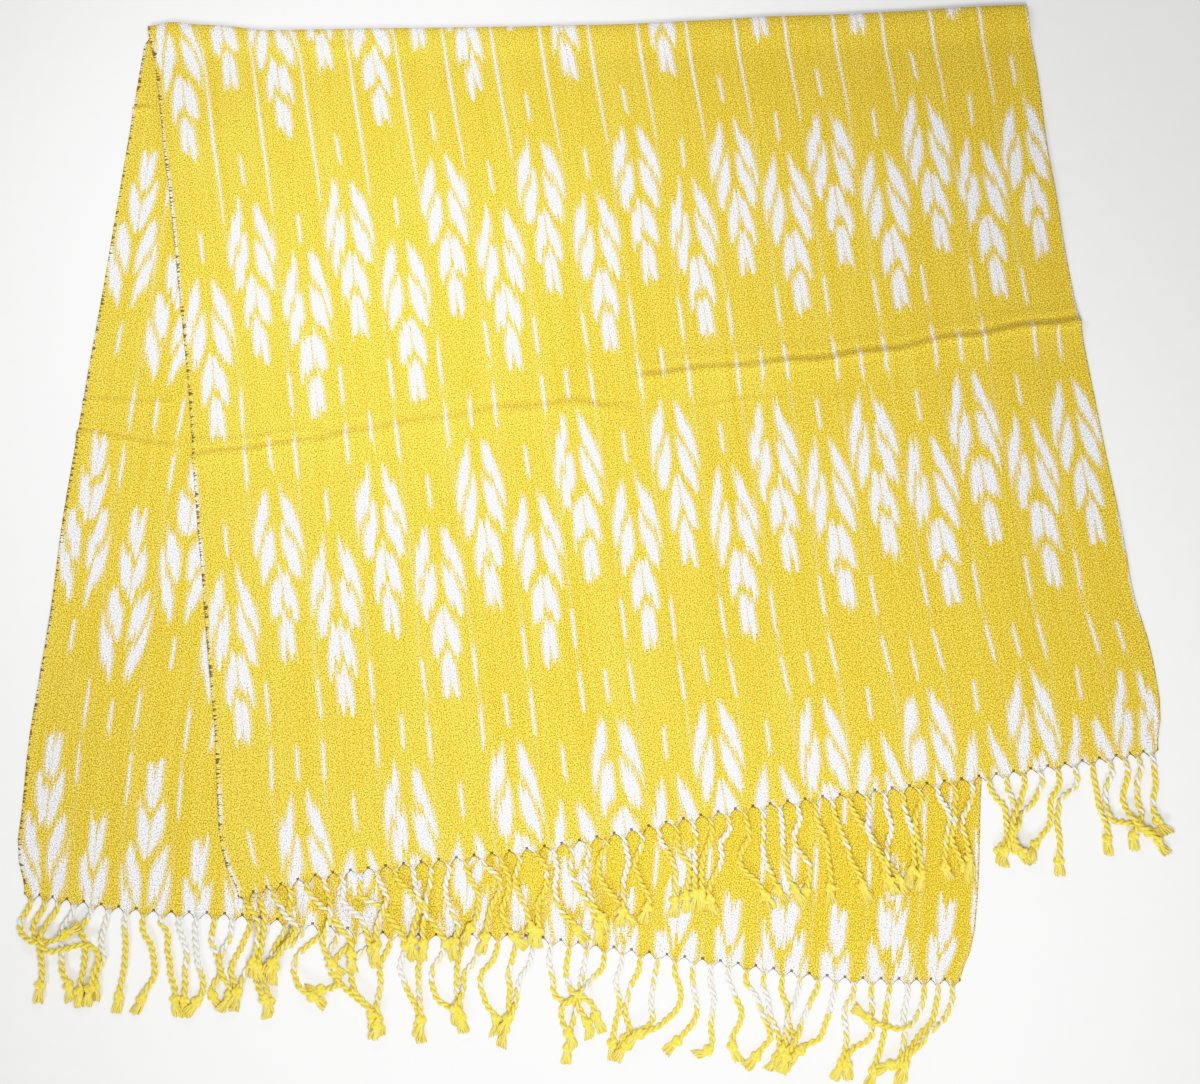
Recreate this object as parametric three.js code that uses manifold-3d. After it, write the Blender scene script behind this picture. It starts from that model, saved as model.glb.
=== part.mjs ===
// A handwoven cotton wrap scarf with a twisted and knotted fringe on each hem.
// It is folded once across its length and laid flat, its two layers fanned apart from the fold.
// Sizes are in millimetres. X runs along the fold, the hems lie towards -Y, and +Z is up.
// The origin is on the surface that the scarf lies on, under the middle of its box.

import * as THREE from "three";
import { mergeVertices } from "three/addons/utils/BufferGeometryUtils.js";
import Module from "manifold-3d";

const wasm = await Module();
wasm.setup();

// ---- Driving sizes ----

const CLOTH_WIDTH = 762; // selvedge to selvedge, 30 inches
const UNDER_LENGTH = 737; // left selvedge of the under layer, from the fold to the hem
const OVER_LENGTH = 738; // left selvedge of the over layer
const FAN_ANGLE = THREE.MathUtils.degToRad(6.81); // each layer's turn away from square to the fold
const WALL = 1.2; // the cloth's wall
const SEAM_GAP = 0.3; // between pieces that meet or lie on each other

const FOLD_RADIUS = 2.4; // of the wall's middle, round the soft fold
const FOLD_SETTLE = 34; // how far back from the fold the over layer comes down
const LIP_DEPTH = 7; // how far the fold's lip runs back along the surface
const LIP_PARTING = 1; // between the lip and the under layer, hidden inside the fold
const BOW_REACH = 130; // how far in from the fold its bow still shows

const DRAW_IN = 8; // how far a selvedge pulls in at a hem's corner
const DRAW_IN_REACH = 36; // and over what length
const HEM_BOW_REACH = 140; // how far in from a hem its bow still shows

const STEP_START = 20; // past the under layer's edge, where the over layer starts down
const STEP_LENGTH = 30; // and the length in which it reaches the surface

const STRANDS = 54; // along each hem
const STRAND_HEIGHT = 3.6;
const STRAND_SPACING = 7; // side by side, where the knots of one bunch meet
const STRIP_DEPTH = 3; // the woven heading that the strands grow from
const STRIP_HEIGHT = 1.8;
const FRINGE_LIFT = 0.4; // the fringe's clearance over the surface
const CLIMB_LENGTH = 22; // in which the over fringe climbs onto the under fringe

const COLUMNS = 28; // of both layers, so that their edges meet under the fold
const OVER_ROWS = 24;
const UNDER_ROWS = 16;
const HEM_ROWS = [36, 20, 8, 0]; // distances of the last rows from the hem

// ---- Tables: how the cloth strays from straight, as it was laid ----

// across: how far the selvedge lies to the right of its straight line.
const OVER_LEFT_EDGE = [
  { along: 0, across: 1 },
  { along: 50, across: 4 },
  { along: 210, across: 6.5 },
  { along: 310, across: 6 },
  { along: 460, across: 2.5 },
  { along: 600, across: 1.5 },
  { along: 690, across: -3 },
  { along: 738, across: -1 },
];
const OVER_RIGHT_EDGE = [
  { along: 0, across: 5 },
  { along: 140, across: 2 },
  { along: 240, across: -3.5 },
  { along: 340, across: -5 },
  { along: 540, across: -5 },
  { along: 600, across: -6 },
  { along: 660, across: -1 },
  { along: 738, across: -3 },
];
const UNDER_LEFT_EDGE = [
  { along: 0, across: -1 },
  { along: 260, across: -2.4 },
  { along: 430, across: -5 },
  { along: 520, across: -2 },
  { along: 610, across: -3 },
  { along: 690, across: 1 },
  { along: 737, across: 5 },
];
const UNDER_RIGHT_EDGE = [
  { along: 0, across: 3 },
  { along: 400, across: 0 },
  { along: 576, across: 1 },
  { along: 660, across: 3 },
  { along: 737, across: 1 },
];

// out: how far the hem lies beyond its straight line.
const OVER_HEM = [
  { across: 0, out: 9 },
  { across: 30, out: 5 },
  { across: 75, out: 1 },
  { across: 250, out: 4 },
  { across: 425, out: -4 },
  { across: 600, out: -2 },
  { across: 762, out: -3 },
];
const UNDER_HEM = [
  { across: 0, out: 2 },
  { across: 105, out: 5 },
  { across: 180, out: 1.5 },
  { across: 300, out: 3.5 },
  { across: 410, out: -5 },
  { across: 550, out: -1.5 },
  { across: 650, out: 1.5 },
  { across: 762, out: -5 },
];

// back: how far the fold lies behind the straight line between its ends.
const FOLD_BOW = [
  { across: 0, back: 2 },
  { across: 20, back: 5 },
  { across: 50, back: 2 },
  { across: 110, back: -4.5 },
  { across: 380, back: -6 },
  { across: 575, back: -1 },
  { across: 762, back: 5 },
];

// Soft ridges pressed into the over layer, from one point on the cloth to another.
const OVER_CREASES = [
  { acrossA: 380, alongA: 364, acrossB: 762, alongB: 372, height: 2.6, halfWidth: 24 },
  { acrossA: 0, alongA: 384, acrossB: 215, alongB: 368, height: 2.2, halfWidth: 26 },
  { acrossA: 185, alongA: 370, acrossB: 400, alongB: 391, height: 1.4, halfWidth: 28 },
  { acrossA: 0, alongA: 120, acrossB: 70, alongB: 96, height: 1.8, halfWidth: 24 },
];

// Places where the over layer's selvedges stand off what they lie on.
const OVER_EDGE_LIFTS = [
  { across: 0, along: 215, height: 2, halfLength: 90, depth: 60 },
  { across: 0, along: 560, height: 1.6, halfLength: 80, depth: 50 },
  { across: 762, along: 250, height: 1.8, halfLength: 80, depth: 55 },
  { across: 762, along: 560, height: 1.6, halfLength: 70, depth: 50 },
];

// ---- Tables: the fringe's bunches, from left to right along each hem ----

// at: where the bunch's knots meet, across the cloth. out: how far its ends reach past the hem.
// sway: how far the strands bow to the right on the way.
const UNDER_BUNCHES = [
  { strands: 2, at: 36, out: 84, sway: 3 },
  { strands: 4, at: 69, out: 78, sway: 4 },
  { strands: 1, at: 99, out: 82, sway: 3 },
  { strands: 1, at: 117, out: 83, sway: 5 },
  { strands: 3, at: 150, out: 80, sway: -2 },
  { strands: 3, at: 189, out: 71, sway: -3 },
  { strands: 2, at: 220, out: 74, sway: 2 },
  { strands: 3, at: 258, out: 62, sway: -4 },
  { strands: 3, at: 304, out: 81, sway: -3 },
  { strands: 3, at: 339, out: 79, sway: -3 },
  { strands: 3, at: 371, out: 68, sway: 2 },
  { strands: 2, at: 402, out: 74, sway: 2 },
  { strands: 2, at: 447, out: 84, sway: -4 },
  { strands: 1, at: 470, out: 64, sway: 0 },
  { strands: 2, at: 490, out: 77, sway: -3 },
  { strands: 2, at: 513, out: 56, sway: 1 },
  { strands: 1, at: 531, out: 71, sway: 3 },
  { strands: 1, at: 556, out: 69, sway: -2 },
  { strands: 1, at: 574, out: 70, sway: 2 },
  { strands: 2, at: 594, out: 76, sway: -3 },
  { strands: 4, at: 625, out: 71, sway: 2 },
  { strands: 3, at: 660, out: 72, sway: 3 },
  { strands: 3, at: 688, out: 75, sway: 4 },
  { strands: 2, at: 714, out: 73, sway: 5 },
];
const OVER_BUNCHES = [
  { strands: 4, at: 27, out: 72, sway: 4 },
  { strands: 4, at: 85, out: 83, sway: -4 },
  { strands: 2, at: 113, out: 80, sway: -3 },
  { strands: 2, at: 138, out: 75, sway: -3 },
  { strands: 1, at: 165, out: 74, sway: -2 },
  { strands: 3, at: 201, out: 77, sway: 3 },
  { strands: 2, at: 232, out: 83, sway: 4 },
  { strands: 3, at: 280, out: 82, sway: -4 },
  { strands: 2, at: 306, out: 69, sway: -2 },
  { strands: 1, at: 322, out: 62, sway: 4 },
  { strands: 3, at: 353, out: 70, sway: -3 },
  { strands: 2, at: 380, out: 72, sway: 3 },
  { strands: 5, at: 438, out: 84, sway: -5 },
  { strands: 1, at: 470, out: 78, sway: -3 },
  { strands: 1, at: 498, out: 81, sway: -2 },
  { strands: 2, at: 517, out: 77, sway: -3 },
  { strands: 3, at: 541, out: 76, sway: 3 },
  { strands: 3, at: 577, out: 70, sway: 5 },
  { strands: 2, at: 612, out: 73, sway: 2 },
  { strands: 2, at: 634, out: 68, sway: 5 },
  { strands: 1, at: 657, out: 80, sway: -4 },
  { strands: 2, at: 696, out: 75, sway: 2 },
  { strands: 3, at: 732, out: 79, sway: -3 },
];

// One strand from root to end: plain cord, a knot, its neck and the brushed-out tip.
const STRAND_SECTIONS = [
  { reach: 0, width: 4.4 },
  { reach: 0.25, width: 4.4 },
  { reach: 0.5, width: 4.4 },
  { reach: 0.7, width: 4.2 },
  { reach: 0.79, width: 6 },
  { reach: 0.87, width: 3.6 },
  { reach: 1, width: 5.8 },
];

// ---- The cloth as it lies ----

const SIN = Math.sin(FAN_ANGLE);
const COS = Math.cos(FAN_ANGLE);
const OVER_BASE = WALL + SEAM_GAP; // underside of the over layer, where it lies on the under layer
const RIDE_HEIGHT = FRINGE_LIFT + STRAND_HEIGHT + SEAM_GAP; // underside of the over fringe on the under one

const OVER = {
  turn: 1,
  length: OVER_LENGTH,
  left: OVER_LEFT_EDGE,
  right: OVER_RIGHT_EDGE,
  hem: OVER_HEM,
};
const UNDER = {
  turn: -1,
  length: UNDER_LENGTH,
  left: UNDER_LEFT_EDGE,
  right: UNDER_RIGHT_EDGE,
  hem: UNDER_HEM,
};

function ease(x) {
  const t = THREE.MathUtils.clamp(x, 0, 1);
  return t * t * (3 - 2 * t);
}

// A table's value between its rows, eased from one row to the next.
function read(table, key, value, at) {
  const next = table.findIndex((row) => row[key] > at);
  if (next === 0) return table[0][value];
  if (next < 0) return table[table.length - 1][value];
  const a = table[next - 1];
  const b = table[next];
  return a[value] + (b[value] - a[value]) * ease((at - a[key]) / (b[key] - a[key]));
}

// How far a point of a layer strays across, at a distance along it from the fold's left end.
function strayAcross(layer, across, along) {
  const inset = DRAW_IN * ease(1 - (layer.length - along) / DRAW_IN_REACH);
  const left = read(layer.left, "along", "across", along) + inset;
  const right = read(layer.right, "along", "across", along) - inset;
  return left + ((right - left) * across) / CLOTH_WIDTH;
}

// Where a point of a layer lies in plan, with the fold's left end at 0, 0.
// across is measured from the left selvedge, along from the square line through the fold's left end.
function layPoint(layer, across, along) {
  const hemShare = ease(1 - (layer.length - along) / HEM_BOW_REACH);
  const u = across + strayAcross(layer, across, along);
  const v = along + hemShare * read(layer.hem, "across", "out", across);
  const fromFold = along * COS - layer.turn * across * SIN;
  const bow = read(FOLD_BOW, "across", "back", across) * ease(1 - fromFold / BOW_REACH);
  return { x: u * COS + layer.turn * v * SIN, y: layer.turn * u * SIN - v * COS + bow };
}

// The distance along a layer at which its warp line crosses a line parallel to the fold.
function alongAt(layer, across, fromFold) {
  return (fromFold + layer.turn * across * SIN) / COS;
}

// How far a point in plan lies beyond the under layer's right selvedge.
function pastUnderEdge(x, y) {
  const along = -x * SIN - y * COS;
  const stray = read(UNDER_RIGHT_EDGE, "along", "across", along);
  return x * COS - y * SIN - CLOTH_WIDTH - stray;
}

// How far a point in plan lies beyond the under layer's hem.
function pastUnderHem(x, y) {
  const across = x * COS - y * SIN;
  return -x * SIN - y * COS - UNDER_LENGTH - read(UNDER_HEM, "across", "out", across);
}

// Underside of what lies on the under layer: flat on it, then down to the surface past its edge.
function overUnderside(x, y) {
  return OVER_BASE * (1 - ease((pastUnderEdge(x, y) - STEP_START) / STEP_LENGTH));
}

// ---- The over layer's relief ----

function creaseHeight(crease, across, along) {
  const dx = crease.acrossB - crease.acrossA;
  const dy = crease.alongB - crease.alongA;
  const length = Math.hypot(dx, dy);
  const share = ((across - crease.acrossA) * dx + (along - crease.alongA) * dy) / length ** 2;
  const off = Math.abs((across - crease.acrossA) * dy - (along - crease.alongA) * dx) / length;
  const ends = crease.acrossA === 0 ? 1 : ease(share * 5);
  const fade = crease.acrossB === CLOTH_WIDTH ? 1 : ease((1 - share) * 5);
  return crease.height * ease(1 - off / crease.halfWidth) * ends * fade;
}

function edgeLift(lift, across, along) {
  const sideways = ease(1 - Math.abs(across - lift.across) / lift.depth);
  return lift.height * sideways * ease(1 - Math.abs(along - lift.along) / lift.halfLength);
}

function overRelief(across, along, fromFold) {
  let height = 0;
  for (const crease of OVER_CREASES) height = Math.max(height, creaseHeight(crease, across, along));
  for (const lift of OVER_EDGE_LIFTS) height = Math.max(height, edgeLift(lift, across, along));
  return height * ease((fromFold - FOLD_SETTLE) / FOLD_SETTLE);
}

// The fold's section, from the lip that lies on the surface, round the roll and down onto the layer.
// out, up: the wall's middle; normalOut, normalUp: the direction of its outer face.
function foldStations() {
  const low = WALL / 2;
  const top = low + 2 * FOLD_RADIUS;
  const flat = OVER_BASE + WALL / 2;
  const stations = [{ out: -LIP_DEPTH, up: low, normalOut: 0, normalUp: -1 }];
  for (let i = 0; i <= 4; i++) {
    const angle = (i / 4 - 0.5) * Math.PI;
    stations.push({
      out: FOLD_RADIUS * (Math.cos(angle) - 1),
      up: low + FOLD_RADIUS * (1 + Math.sin(angle)),
      normalOut: Math.cos(angle),
      normalUp: Math.sin(angle),
    });
  }
  for (const share of [0.25, 0.5, 0.75, 1]) {
    stations.push({
      out: -FOLD_RADIUS - share * (FOLD_SETTLE - FOLD_RADIUS),
      up: top + (flat - top) * ease(share),
      normalOut: 0,
      normalUp: 1,
    });
  }
  return stations;
}

// ---- Solids ----

// A closed wall between an outer and an inner grid of points, both [row][column].
function wallGeometry(outer, inner) {
  const rows = outer.length;
  const columns = outer[0].length;
  const points = [...outer.flat(), ...inner.flat()];
  const at = (side, row, column) => side * rows * columns + row * columns + column;
  const index = [];
  const quad = (a, b, c, d) => index.push(a, b, c, a, c, d);
  for (let r = 0; r < rows - 1; r++) {
    for (let c = 0; c < columns - 1; c++) {
      quad(at(0, r, c), at(0, r + 1, c), at(0, r + 1, c + 1), at(0, r, c + 1));
      quad(at(1, r, c), at(1, r, c + 1), at(1, r + 1, c + 1), at(1, r + 1, c));
    }
    quad(at(0, r, 0), at(1, r, 0), at(1, r + 1, 0), at(0, r + 1, 0));
    const end = columns - 1;
    quad(at(0, r, end), at(0, r + 1, end), at(1, r + 1, end), at(1, r, end));
  }
  for (let c = 0; c < columns - 1; c++) {
    const end = rows - 1;
    quad(at(0, 0, c), at(0, 0, c + 1), at(1, 0, c + 1), at(1, 0, c));
    quad(at(0, end, c), at(1, end, c), at(1, end, c + 1), at(0, end, c + 1));
  }
  const geometry = new THREE.BufferGeometry().setFromPoints(points);
  return geometry.setIndex(index);
}

function columnPlaces() {
  return Array.from({ length: COLUMNS + 1 }, (unused, i) => (i / COLUMNS) * CLOTH_WIDTH);
}

// Distances along a layer of one column's rows, from a start to the hem, with close rows at the hem.
function rowPlaces(layer, across, fromFold, count) {
  const start = alongAt(layer, across, fromFold);
  const end = layer.length - HEM_ROWS[0];
  const places = [];
  for (let i = 1; i < count; i++) places.push(start + ((end - start) * i) / count);
  return [...places, ...HEM_ROWS.map((distance) => layer.length - distance)];
}

function overLayer() {
  const outer = [];
  const inner = [];
  const columns = columnPlaces();
  for (const station of foldStations()) {
    const face = (side) =>
      columns.map((across) => {
        const along = alongAt(OVER, across, -station.out);
        const place = layPoint(OVER, across, along);
        const offset = (side * WALL) / 2;
        return new THREE.Vector3(
          place.x,
          place.y + offset * station.normalOut,
          station.up + offset * station.normalUp,
        );
      });
    outer.push(face(1));
    inner.push(face(-1));
  }
  const rows = columns.map((across) => rowPlaces(OVER, across, FOLD_SETTLE, OVER_ROWS));
  for (let r = 0; r < rows[0].length; r++) {
    const face = (side) =>
      columns.map((across, c) => {
        const along = rows[c][r];
        const place = layPoint(OVER, across, along);
        const relief = overRelief(across, along, along * COS - across * SIN);
        const z = overUnderside(place.x, place.y) + relief + side * WALL;
        return new THREE.Vector3(place.x, place.y, z);
      });
    outer.push(face(1));
    inner.push(face(0));
  }
  return wallGeometry(outer, inner);
}

function underLayer() {
  const columns = columnPlaces();
  const start = LIP_DEPTH + LIP_PARTING;
  const rows = columns.map((across) => [
    alongAt(UNDER, across, start),
    ...rowPlaces(UNDER, across, start, UNDER_ROWS),
  ]);
  const face = (z) =>
    rows[0].map((unused, r) =>
      columns.map((across, c) => {
        const place = layPoint(UNDER, across, rows[c][r]);
        return new THREE.Vector3(place.x, place.y, z);
      }),
    );
  return wallGeometry(face(WALL), face(0));
}

// ---- Fringes ----

// A tube of rings of points, closed by a flat face at each end.
function tubeGeometry(rings) {
  const sides = rings[0].length;
  const index = [];
  for (let r = 0; r < rings.length - 1; r++) {
    for (let s = 0; s < sides; s++) {
      const a = r * sides + s;
      const b = r * sides + ((s + 1) % sides);
      index.push(a, b, b + sides, a, b + sides, a + sides);
    }
  }
  const last = (rings.length - 1) * sides;
  for (let s = 1; s < sides - 1; s++) {
    index.push(0, s + 1, s);
    index.push(last, last + s, last + s + 1);
  }
  return new THREE.BufferGeometry().setFromPoints(rings.flat()).setIndex(index);
}

// The narrow heading strip along a hem, parted from the cloth's edge by the seam gap.
function headingStrip(layer, undersideAt) {
  const corners = [
    { out: SEAM_GAP, up: 0 },
    { out: SEAM_GAP, up: STRIP_HEIGHT },
    { out: SEAM_GAP + STRIP_DEPTH, up: STRIP_HEIGHT },
    { out: SEAM_GAP + STRIP_DEPTH, up: 0 },
  ];
  const rings = columnPlaces().map((across) =>
    corners.map((corner) => {
      const place = layPoint(layer, across, layer.length + corner.out);
      return new THREE.Vector3(place.x, place.y, undersideAt(place.x, place.y) + corner.up);
    }),
  );
  return tubeGeometry(rings);
}

// One strand, of a four-sided section that stands on its edge.
function strandGeometry(layer, root, bunch, place, undersideAt) {
  const end = bunch.at + (place - (bunch.strands - 1) / 2) * STRAND_SPACING;
  const start = SEAM_GAP + STRIP_DEPTH / 3;
  const centreAt = (reach) => {
    const across = root + (end - root) * ease(reach) + bunch.sway * Math.sin(Math.PI * reach);
    return layPoint(layer, across, layer.length + start + (bunch.out - start) * reach);
  };
  const rings = STRAND_SECTIONS.map((section) => {
    const centre = centreAt(section.reach);
    const before = centreAt(Math.max(0, section.reach - 0.05));
    const after = centreAt(Math.min(1, section.reach + 0.05));
    const length = Math.hypot(after.x - before.x, after.y - before.y);
    const sideX = -(after.y - before.y) / length;
    const sideY = (after.x - before.x) / length;
    const low = undersideAt(centre.x, centre.y);
    const half = section.width / 2;
    return [
      new THREE.Vector3(centre.x - sideX * half, centre.y - sideY * half, low + STRAND_HEIGHT / 2),
      new THREE.Vector3(centre.x, centre.y, low),
      new THREE.Vector3(centre.x + sideX * half, centre.y + sideY * half, low + STRAND_HEIGHT / 2),
      new THREE.Vector3(centre.x, centre.y, low + STRAND_HEIGHT),
    ];
  });
  return tubeGeometry(rings);
}

function solidOf(geometry) {
  const merged = mergeVertices(geometry, 1e-4);
  const mesh = new wasm.Mesh({
    numProp: 3,
    vertProperties: merged.attributes.position.array,
    triVerts: new Uint32Array(merged.index.array),
  });
  return new wasm.Manifold(mesh);
}

function geometryOf(solid) {
  const mesh = solid.getMesh();
  const geometry = new THREE.BufferGeometry();
  geometry.setAttribute("position", new THREE.BufferAttribute(mesh.vertProperties, mesh.numProp));
  return geometry.setIndex(new THREE.BufferAttribute(mesh.triVerts, 1));
}

// A hem's whole fringe: the heading strip with every strand's root fused into it.
function fringe(layer, bunches, undersideAt) {
  let solid = solidOf(headingStrip(layer, undersideAt));
  let strand = 0;
  for (const bunch of bunches) {
    for (let place = 0; place < bunch.strands; place++) {
      const root = ((strand + 0.5) / STRANDS) * CLOTH_WIDTH;
      solid = solid.add(solidOf(strandGeometry(layer, root, bunch, place, undersideAt)));
      strand += 1;
    }
  }
  return geometryOf(solid);
}

function underFringe() {
  return fringe(UNDER, UNDER_BUNCHES, () => FRINGE_LIFT);
}

// The over fringe lies on the under layer, then on the under fringe, and on the surface past both.
function overFringe() {
  const underside = (x, y) => {
    const low = Math.max(overUnderside(x, y), FRINGE_LIFT);
    const climb = ease((pastUnderHem(x, y) + CLIMB_LENGTH + STRIP_DEPTH) / CLIMB_LENGTH);
    return low + (RIDE_HEIGHT - low) * climb;
  };
  return fringe(OVER, OVER_BUNCHES, underside);
}

// ---- The scarf ----

function clothMaterial(color) {
  return new THREE.MeshStandardMaterial({ color, roughness: 0.92, metalness: 0 });
}

function piece(name, geometry, material) {
  geometry.computeVertexNormals();
  const mesh = new THREE.Mesh(geometry, material);
  mesh.name = name;
  return mesh;
}

const laid = new THREE.Group();
laid.add(
  piece("under_layer", underLayer(), clothMaterial(0xe6c235)),
  piece("over_layer", overLayer(), clothMaterial(0xf7d445)),
  piece("fringe_under", underFringe(), clothMaterial(0xf3d768)),
  piece("fringe_over", overFringe(), clothMaterial(0xf6dc74)),
);
const box = new THREE.Box3().setFromObject(laid);
const middle = box.getCenter(new THREE.Vector3());
laid.position.set(-middle.x, -middle.y, -box.min.z);

const scarf = new THREE.Group();
scarf.add(laid);
export default scarf;
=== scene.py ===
import math

import bpy
import numpy as np
from mathutils import Matrix, Vector


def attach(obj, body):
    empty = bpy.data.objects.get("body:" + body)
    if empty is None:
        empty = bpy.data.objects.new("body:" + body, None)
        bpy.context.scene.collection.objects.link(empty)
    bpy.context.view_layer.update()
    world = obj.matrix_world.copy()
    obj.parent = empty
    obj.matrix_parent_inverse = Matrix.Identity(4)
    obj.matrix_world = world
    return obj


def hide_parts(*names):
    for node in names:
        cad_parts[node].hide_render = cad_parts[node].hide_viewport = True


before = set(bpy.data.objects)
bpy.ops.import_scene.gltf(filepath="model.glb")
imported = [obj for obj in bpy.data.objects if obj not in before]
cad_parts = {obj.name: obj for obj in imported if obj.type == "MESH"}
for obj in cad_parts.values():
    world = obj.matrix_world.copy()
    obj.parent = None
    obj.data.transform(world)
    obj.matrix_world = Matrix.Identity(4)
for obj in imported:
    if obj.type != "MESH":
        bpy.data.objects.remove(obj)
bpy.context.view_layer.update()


# ==== The cloth ====
# One length of handwoven cotton, straight off the loom with its own woven selvedges, folded once
# across its length with a soft roll along the fold. It is laid flat with its two layers fanned
# apart, so both layers are one continuous sheet.

MM = 0.001  # sizes are in millimetres
FOLD_CORNER = (-377.845, 441.142)  # the fold's left end
CLOTH_WIDTH = 762.0  # selvedge to selvedge
CLOTH_THICKNESS = 0.8
UNDER_LENGTH = 737.0  # left selvedge of each layer, from the fold to the hem
OVER_LENGTH = 738.0
FAN_ANGLE = math.radians(6.81)
SIN, COS, TAN = math.sin(FAN_ANGLE), math.cos(FAN_ANGLE), math.tan(FAN_ANGLE)
UNDER_REST = 0.45  # height of the sheet's middle where the under layer lies on the surface
OVER_REST = 1.75  # and where the over layer lies on the under layer
FOLD_RADIUS = 2.4
ROLL_DEPTH = 7.0  # how far back from the fold the roll is highest
FOLD_SETTLE = 34.0  # and where the over layer is flat behind it
LIP_BACK, UNDER_STOP = 9.0, 10.0  # how far back the roll's hidden lip starts, and the under layer stops
PINCH_LEFT, PINCH_RIGHT = 120.0, 195.0  # a short pinch along the fold, from here to here
PINCH_BACK, PINCH_HEIGHT = 18.0, 1.3
BOW_REACH = 130.0  # how far from the fold its bow has died out
DRAW_IN, DRAW_IN_REACH = 8.0, 36.0  # how far each selvedge is drawn in at its hem, and from where
DRAW_IN_DEPTH = 48.0  # how far in from the selvedge the warp is drawn in with it
HEM_BOW_REACH = 140.0
STEP_START, STEP_LENGTH = 20.0, 30.0  # where the over layer comes down past the under layer's edge
STRANDS = 54
ROOT_PITCH = CLOTH_WIDTH / STRANDS

# How far a selvedge or a hem strays from straight: place along it, then the distance.
UNDER = {
    "turn": -1,
    "length": UNDER_LENGTH,
    "left": [(0, -1), (260, -2.4), (430, -5), (520, -2), (610, -3), (690, 1), (737, 5)],
    "right": [(0, 3), (400, 0), (576, 1), (660, 3), (737, 1)],
    "hem": [(0, 2), (105, 5), (180, 1.5), (300, 3.5), (410, -5), (550, -1.5), (650, 1.5), (762, -5)],
}
OVER = {
    "turn": 1,
    "length": OVER_LENGTH,
    "left": [(0, 1), (50, 4), (210, 6.5), (310, 6), (460, 2.5), (600, 1.5), (690, -3), (738, -1)],
    "right": [(0, 5), (140, 2), (240, -3.5), (340, -5), (540, -5), (600, -6), (660, -1), (738, -3)],
    "hem": [(0, 9), (30, 5), (75, 1), (250, 4), (425, -4), (600, -2), (762, -3)],
}
FOLD_BOW = [(0, 2), (20, 5), (50, 2), (110, -4.5), (380, -6), (575, -1), (762, 5)]
FOLD_AT = 740.0  # along the cloth from the under hem, where the fold's left end is
# How far the warp strays sideways, by place across, at some distances past the fold.
WARP_STRAY = [
    (-80, [(0, -6.5), (150, -6.5), (400, -1), (762, 0)]),
    (30, [(0, -5.3), (230, -5), (330, -4.5), (450, -3), (600, -0.7), (762, 2)]),
    (250, [(0, -4.7), (69, -4), (130, -2.7), (194, -1.5), (278, -0.4), (487, 0), (571, 1.5), (738, 3.3)]),
    (500, [(0, -4.7), (69, -3.3), (153, 0), (236, 1.3), (320, 1.3), (446, -2), (571, -2), (697, 2)]),
    (
        690,
        [(0, -4), (69, -3.3), (153, -1.3), (236, 0.7), (320, 0), (404, -2), (487, -1.3), (655, 2), (738, 2.7)],
    ),
]

# Creases pressed into the cloth: each one's line, as places across and along the layer, then the
# height and half width of its soft swell, and the height and half width of its narrow ridge,
# which has a shallower trough along its side towards the fold.
OVER_CREASES = [
    ([(377, 373), (450, 375), (500, 378), (550, 380), (600, 380), (650, 377), (762, 376)], 2.2, 24, 3.0, 5.2),
    ([(0, 389), (60, 389), (105, 390), (140, 388)], 1.6, 20, 2.2, 4.6),
    ([(0, 376), (45, 378), (110, 379)], 0.0, 10, 0.7, 3.6),
    ([(110, 388), (180, 387), (260, 386), (320, 388), (350, 395), (388, 402)], 1.4, 28, 2.3, 6.5),
    ([(425, 405), (465, 404), (505, 404)], 0.0, 10, 0.8, 3.6),
    ([(525, 430), (548, 412), (570, 392), (600, 374)], 0.8, 16, 1.8, 5.5),
    ([(0, 120), (35, 108), (70, 96)], 1.8, 24, 0.6, 8.0),
    ([(560, 585), (640, 592), (762, 580)], 0.8, 30, 0.4, 9.0),
    ([(0, 560), (90, 566), (200, 556)], 0.8, 30, 0.4, 9.0),
]
UNDER_CREASES = [
    ([(0, 365), (40, 367), (96, 371)], 1.2, 16, 1.8, 3.8),
    ([(0, 337), (90, 331)], 0.8, 16, 1.2, 3.8),
    ([(0, 76), (60, 74)], 0.8, 14, 2.3, 3.4),
    ([(0, 560), (120, 552)], 0.6, 20, 0.4, 7.0),
]
CREASE_WANDER = 0.9  # how far a crease's line wanders off its course
CREASE_FADE_IN = 10.0  # over this distance a crease rises out of the cloth
CREASE_FADE_OUT = 6  # and it dies out over its last part of this many
TROUGH_SHARE, TROUGH_AT = 0.5, 1.5  # a trough's depth, and its place in half widths of the ridge
# Places where a selvedge stands off what it lies on: across, along, height, half length, depth.
OVER_LIFTS = [
    (0, 215, 2.0, 90, 60),
    (0, 560, 1.6, 80, 50),
    (762, 250, 1.8, 80, 55),
    (762, 560, 1.6, 70, 50),
]
UNDER_LIFTS = [(0, 300, 1.6, 80, 40), (0, 520, 1.2, 90, 40), (762, 640, 1.2, 60, 40)]
UNDER_WAVES, OVER_WAVES = 0.5, 0.9  # how high each layer's slow unevenness is


def eased(share):
    """0 to 1 with a soft start and end."""
    t = np.clip(share, 0.0, 1.0)
    return t * t * (3.0 - 2.0 * t)


def read_table(table, at):
    """A table's value between its rows, eased from one row to the next."""
    places, values = np.array(table, dtype=float).T
    row = np.clip(np.searchsorted(places, at, side="right"), 1, len(places) - 1)
    share = eased((at - places[row - 1]) / (places[row] - places[row - 1]))
    return values[row - 1] + (values[row] - values[row - 1]) * share


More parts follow.
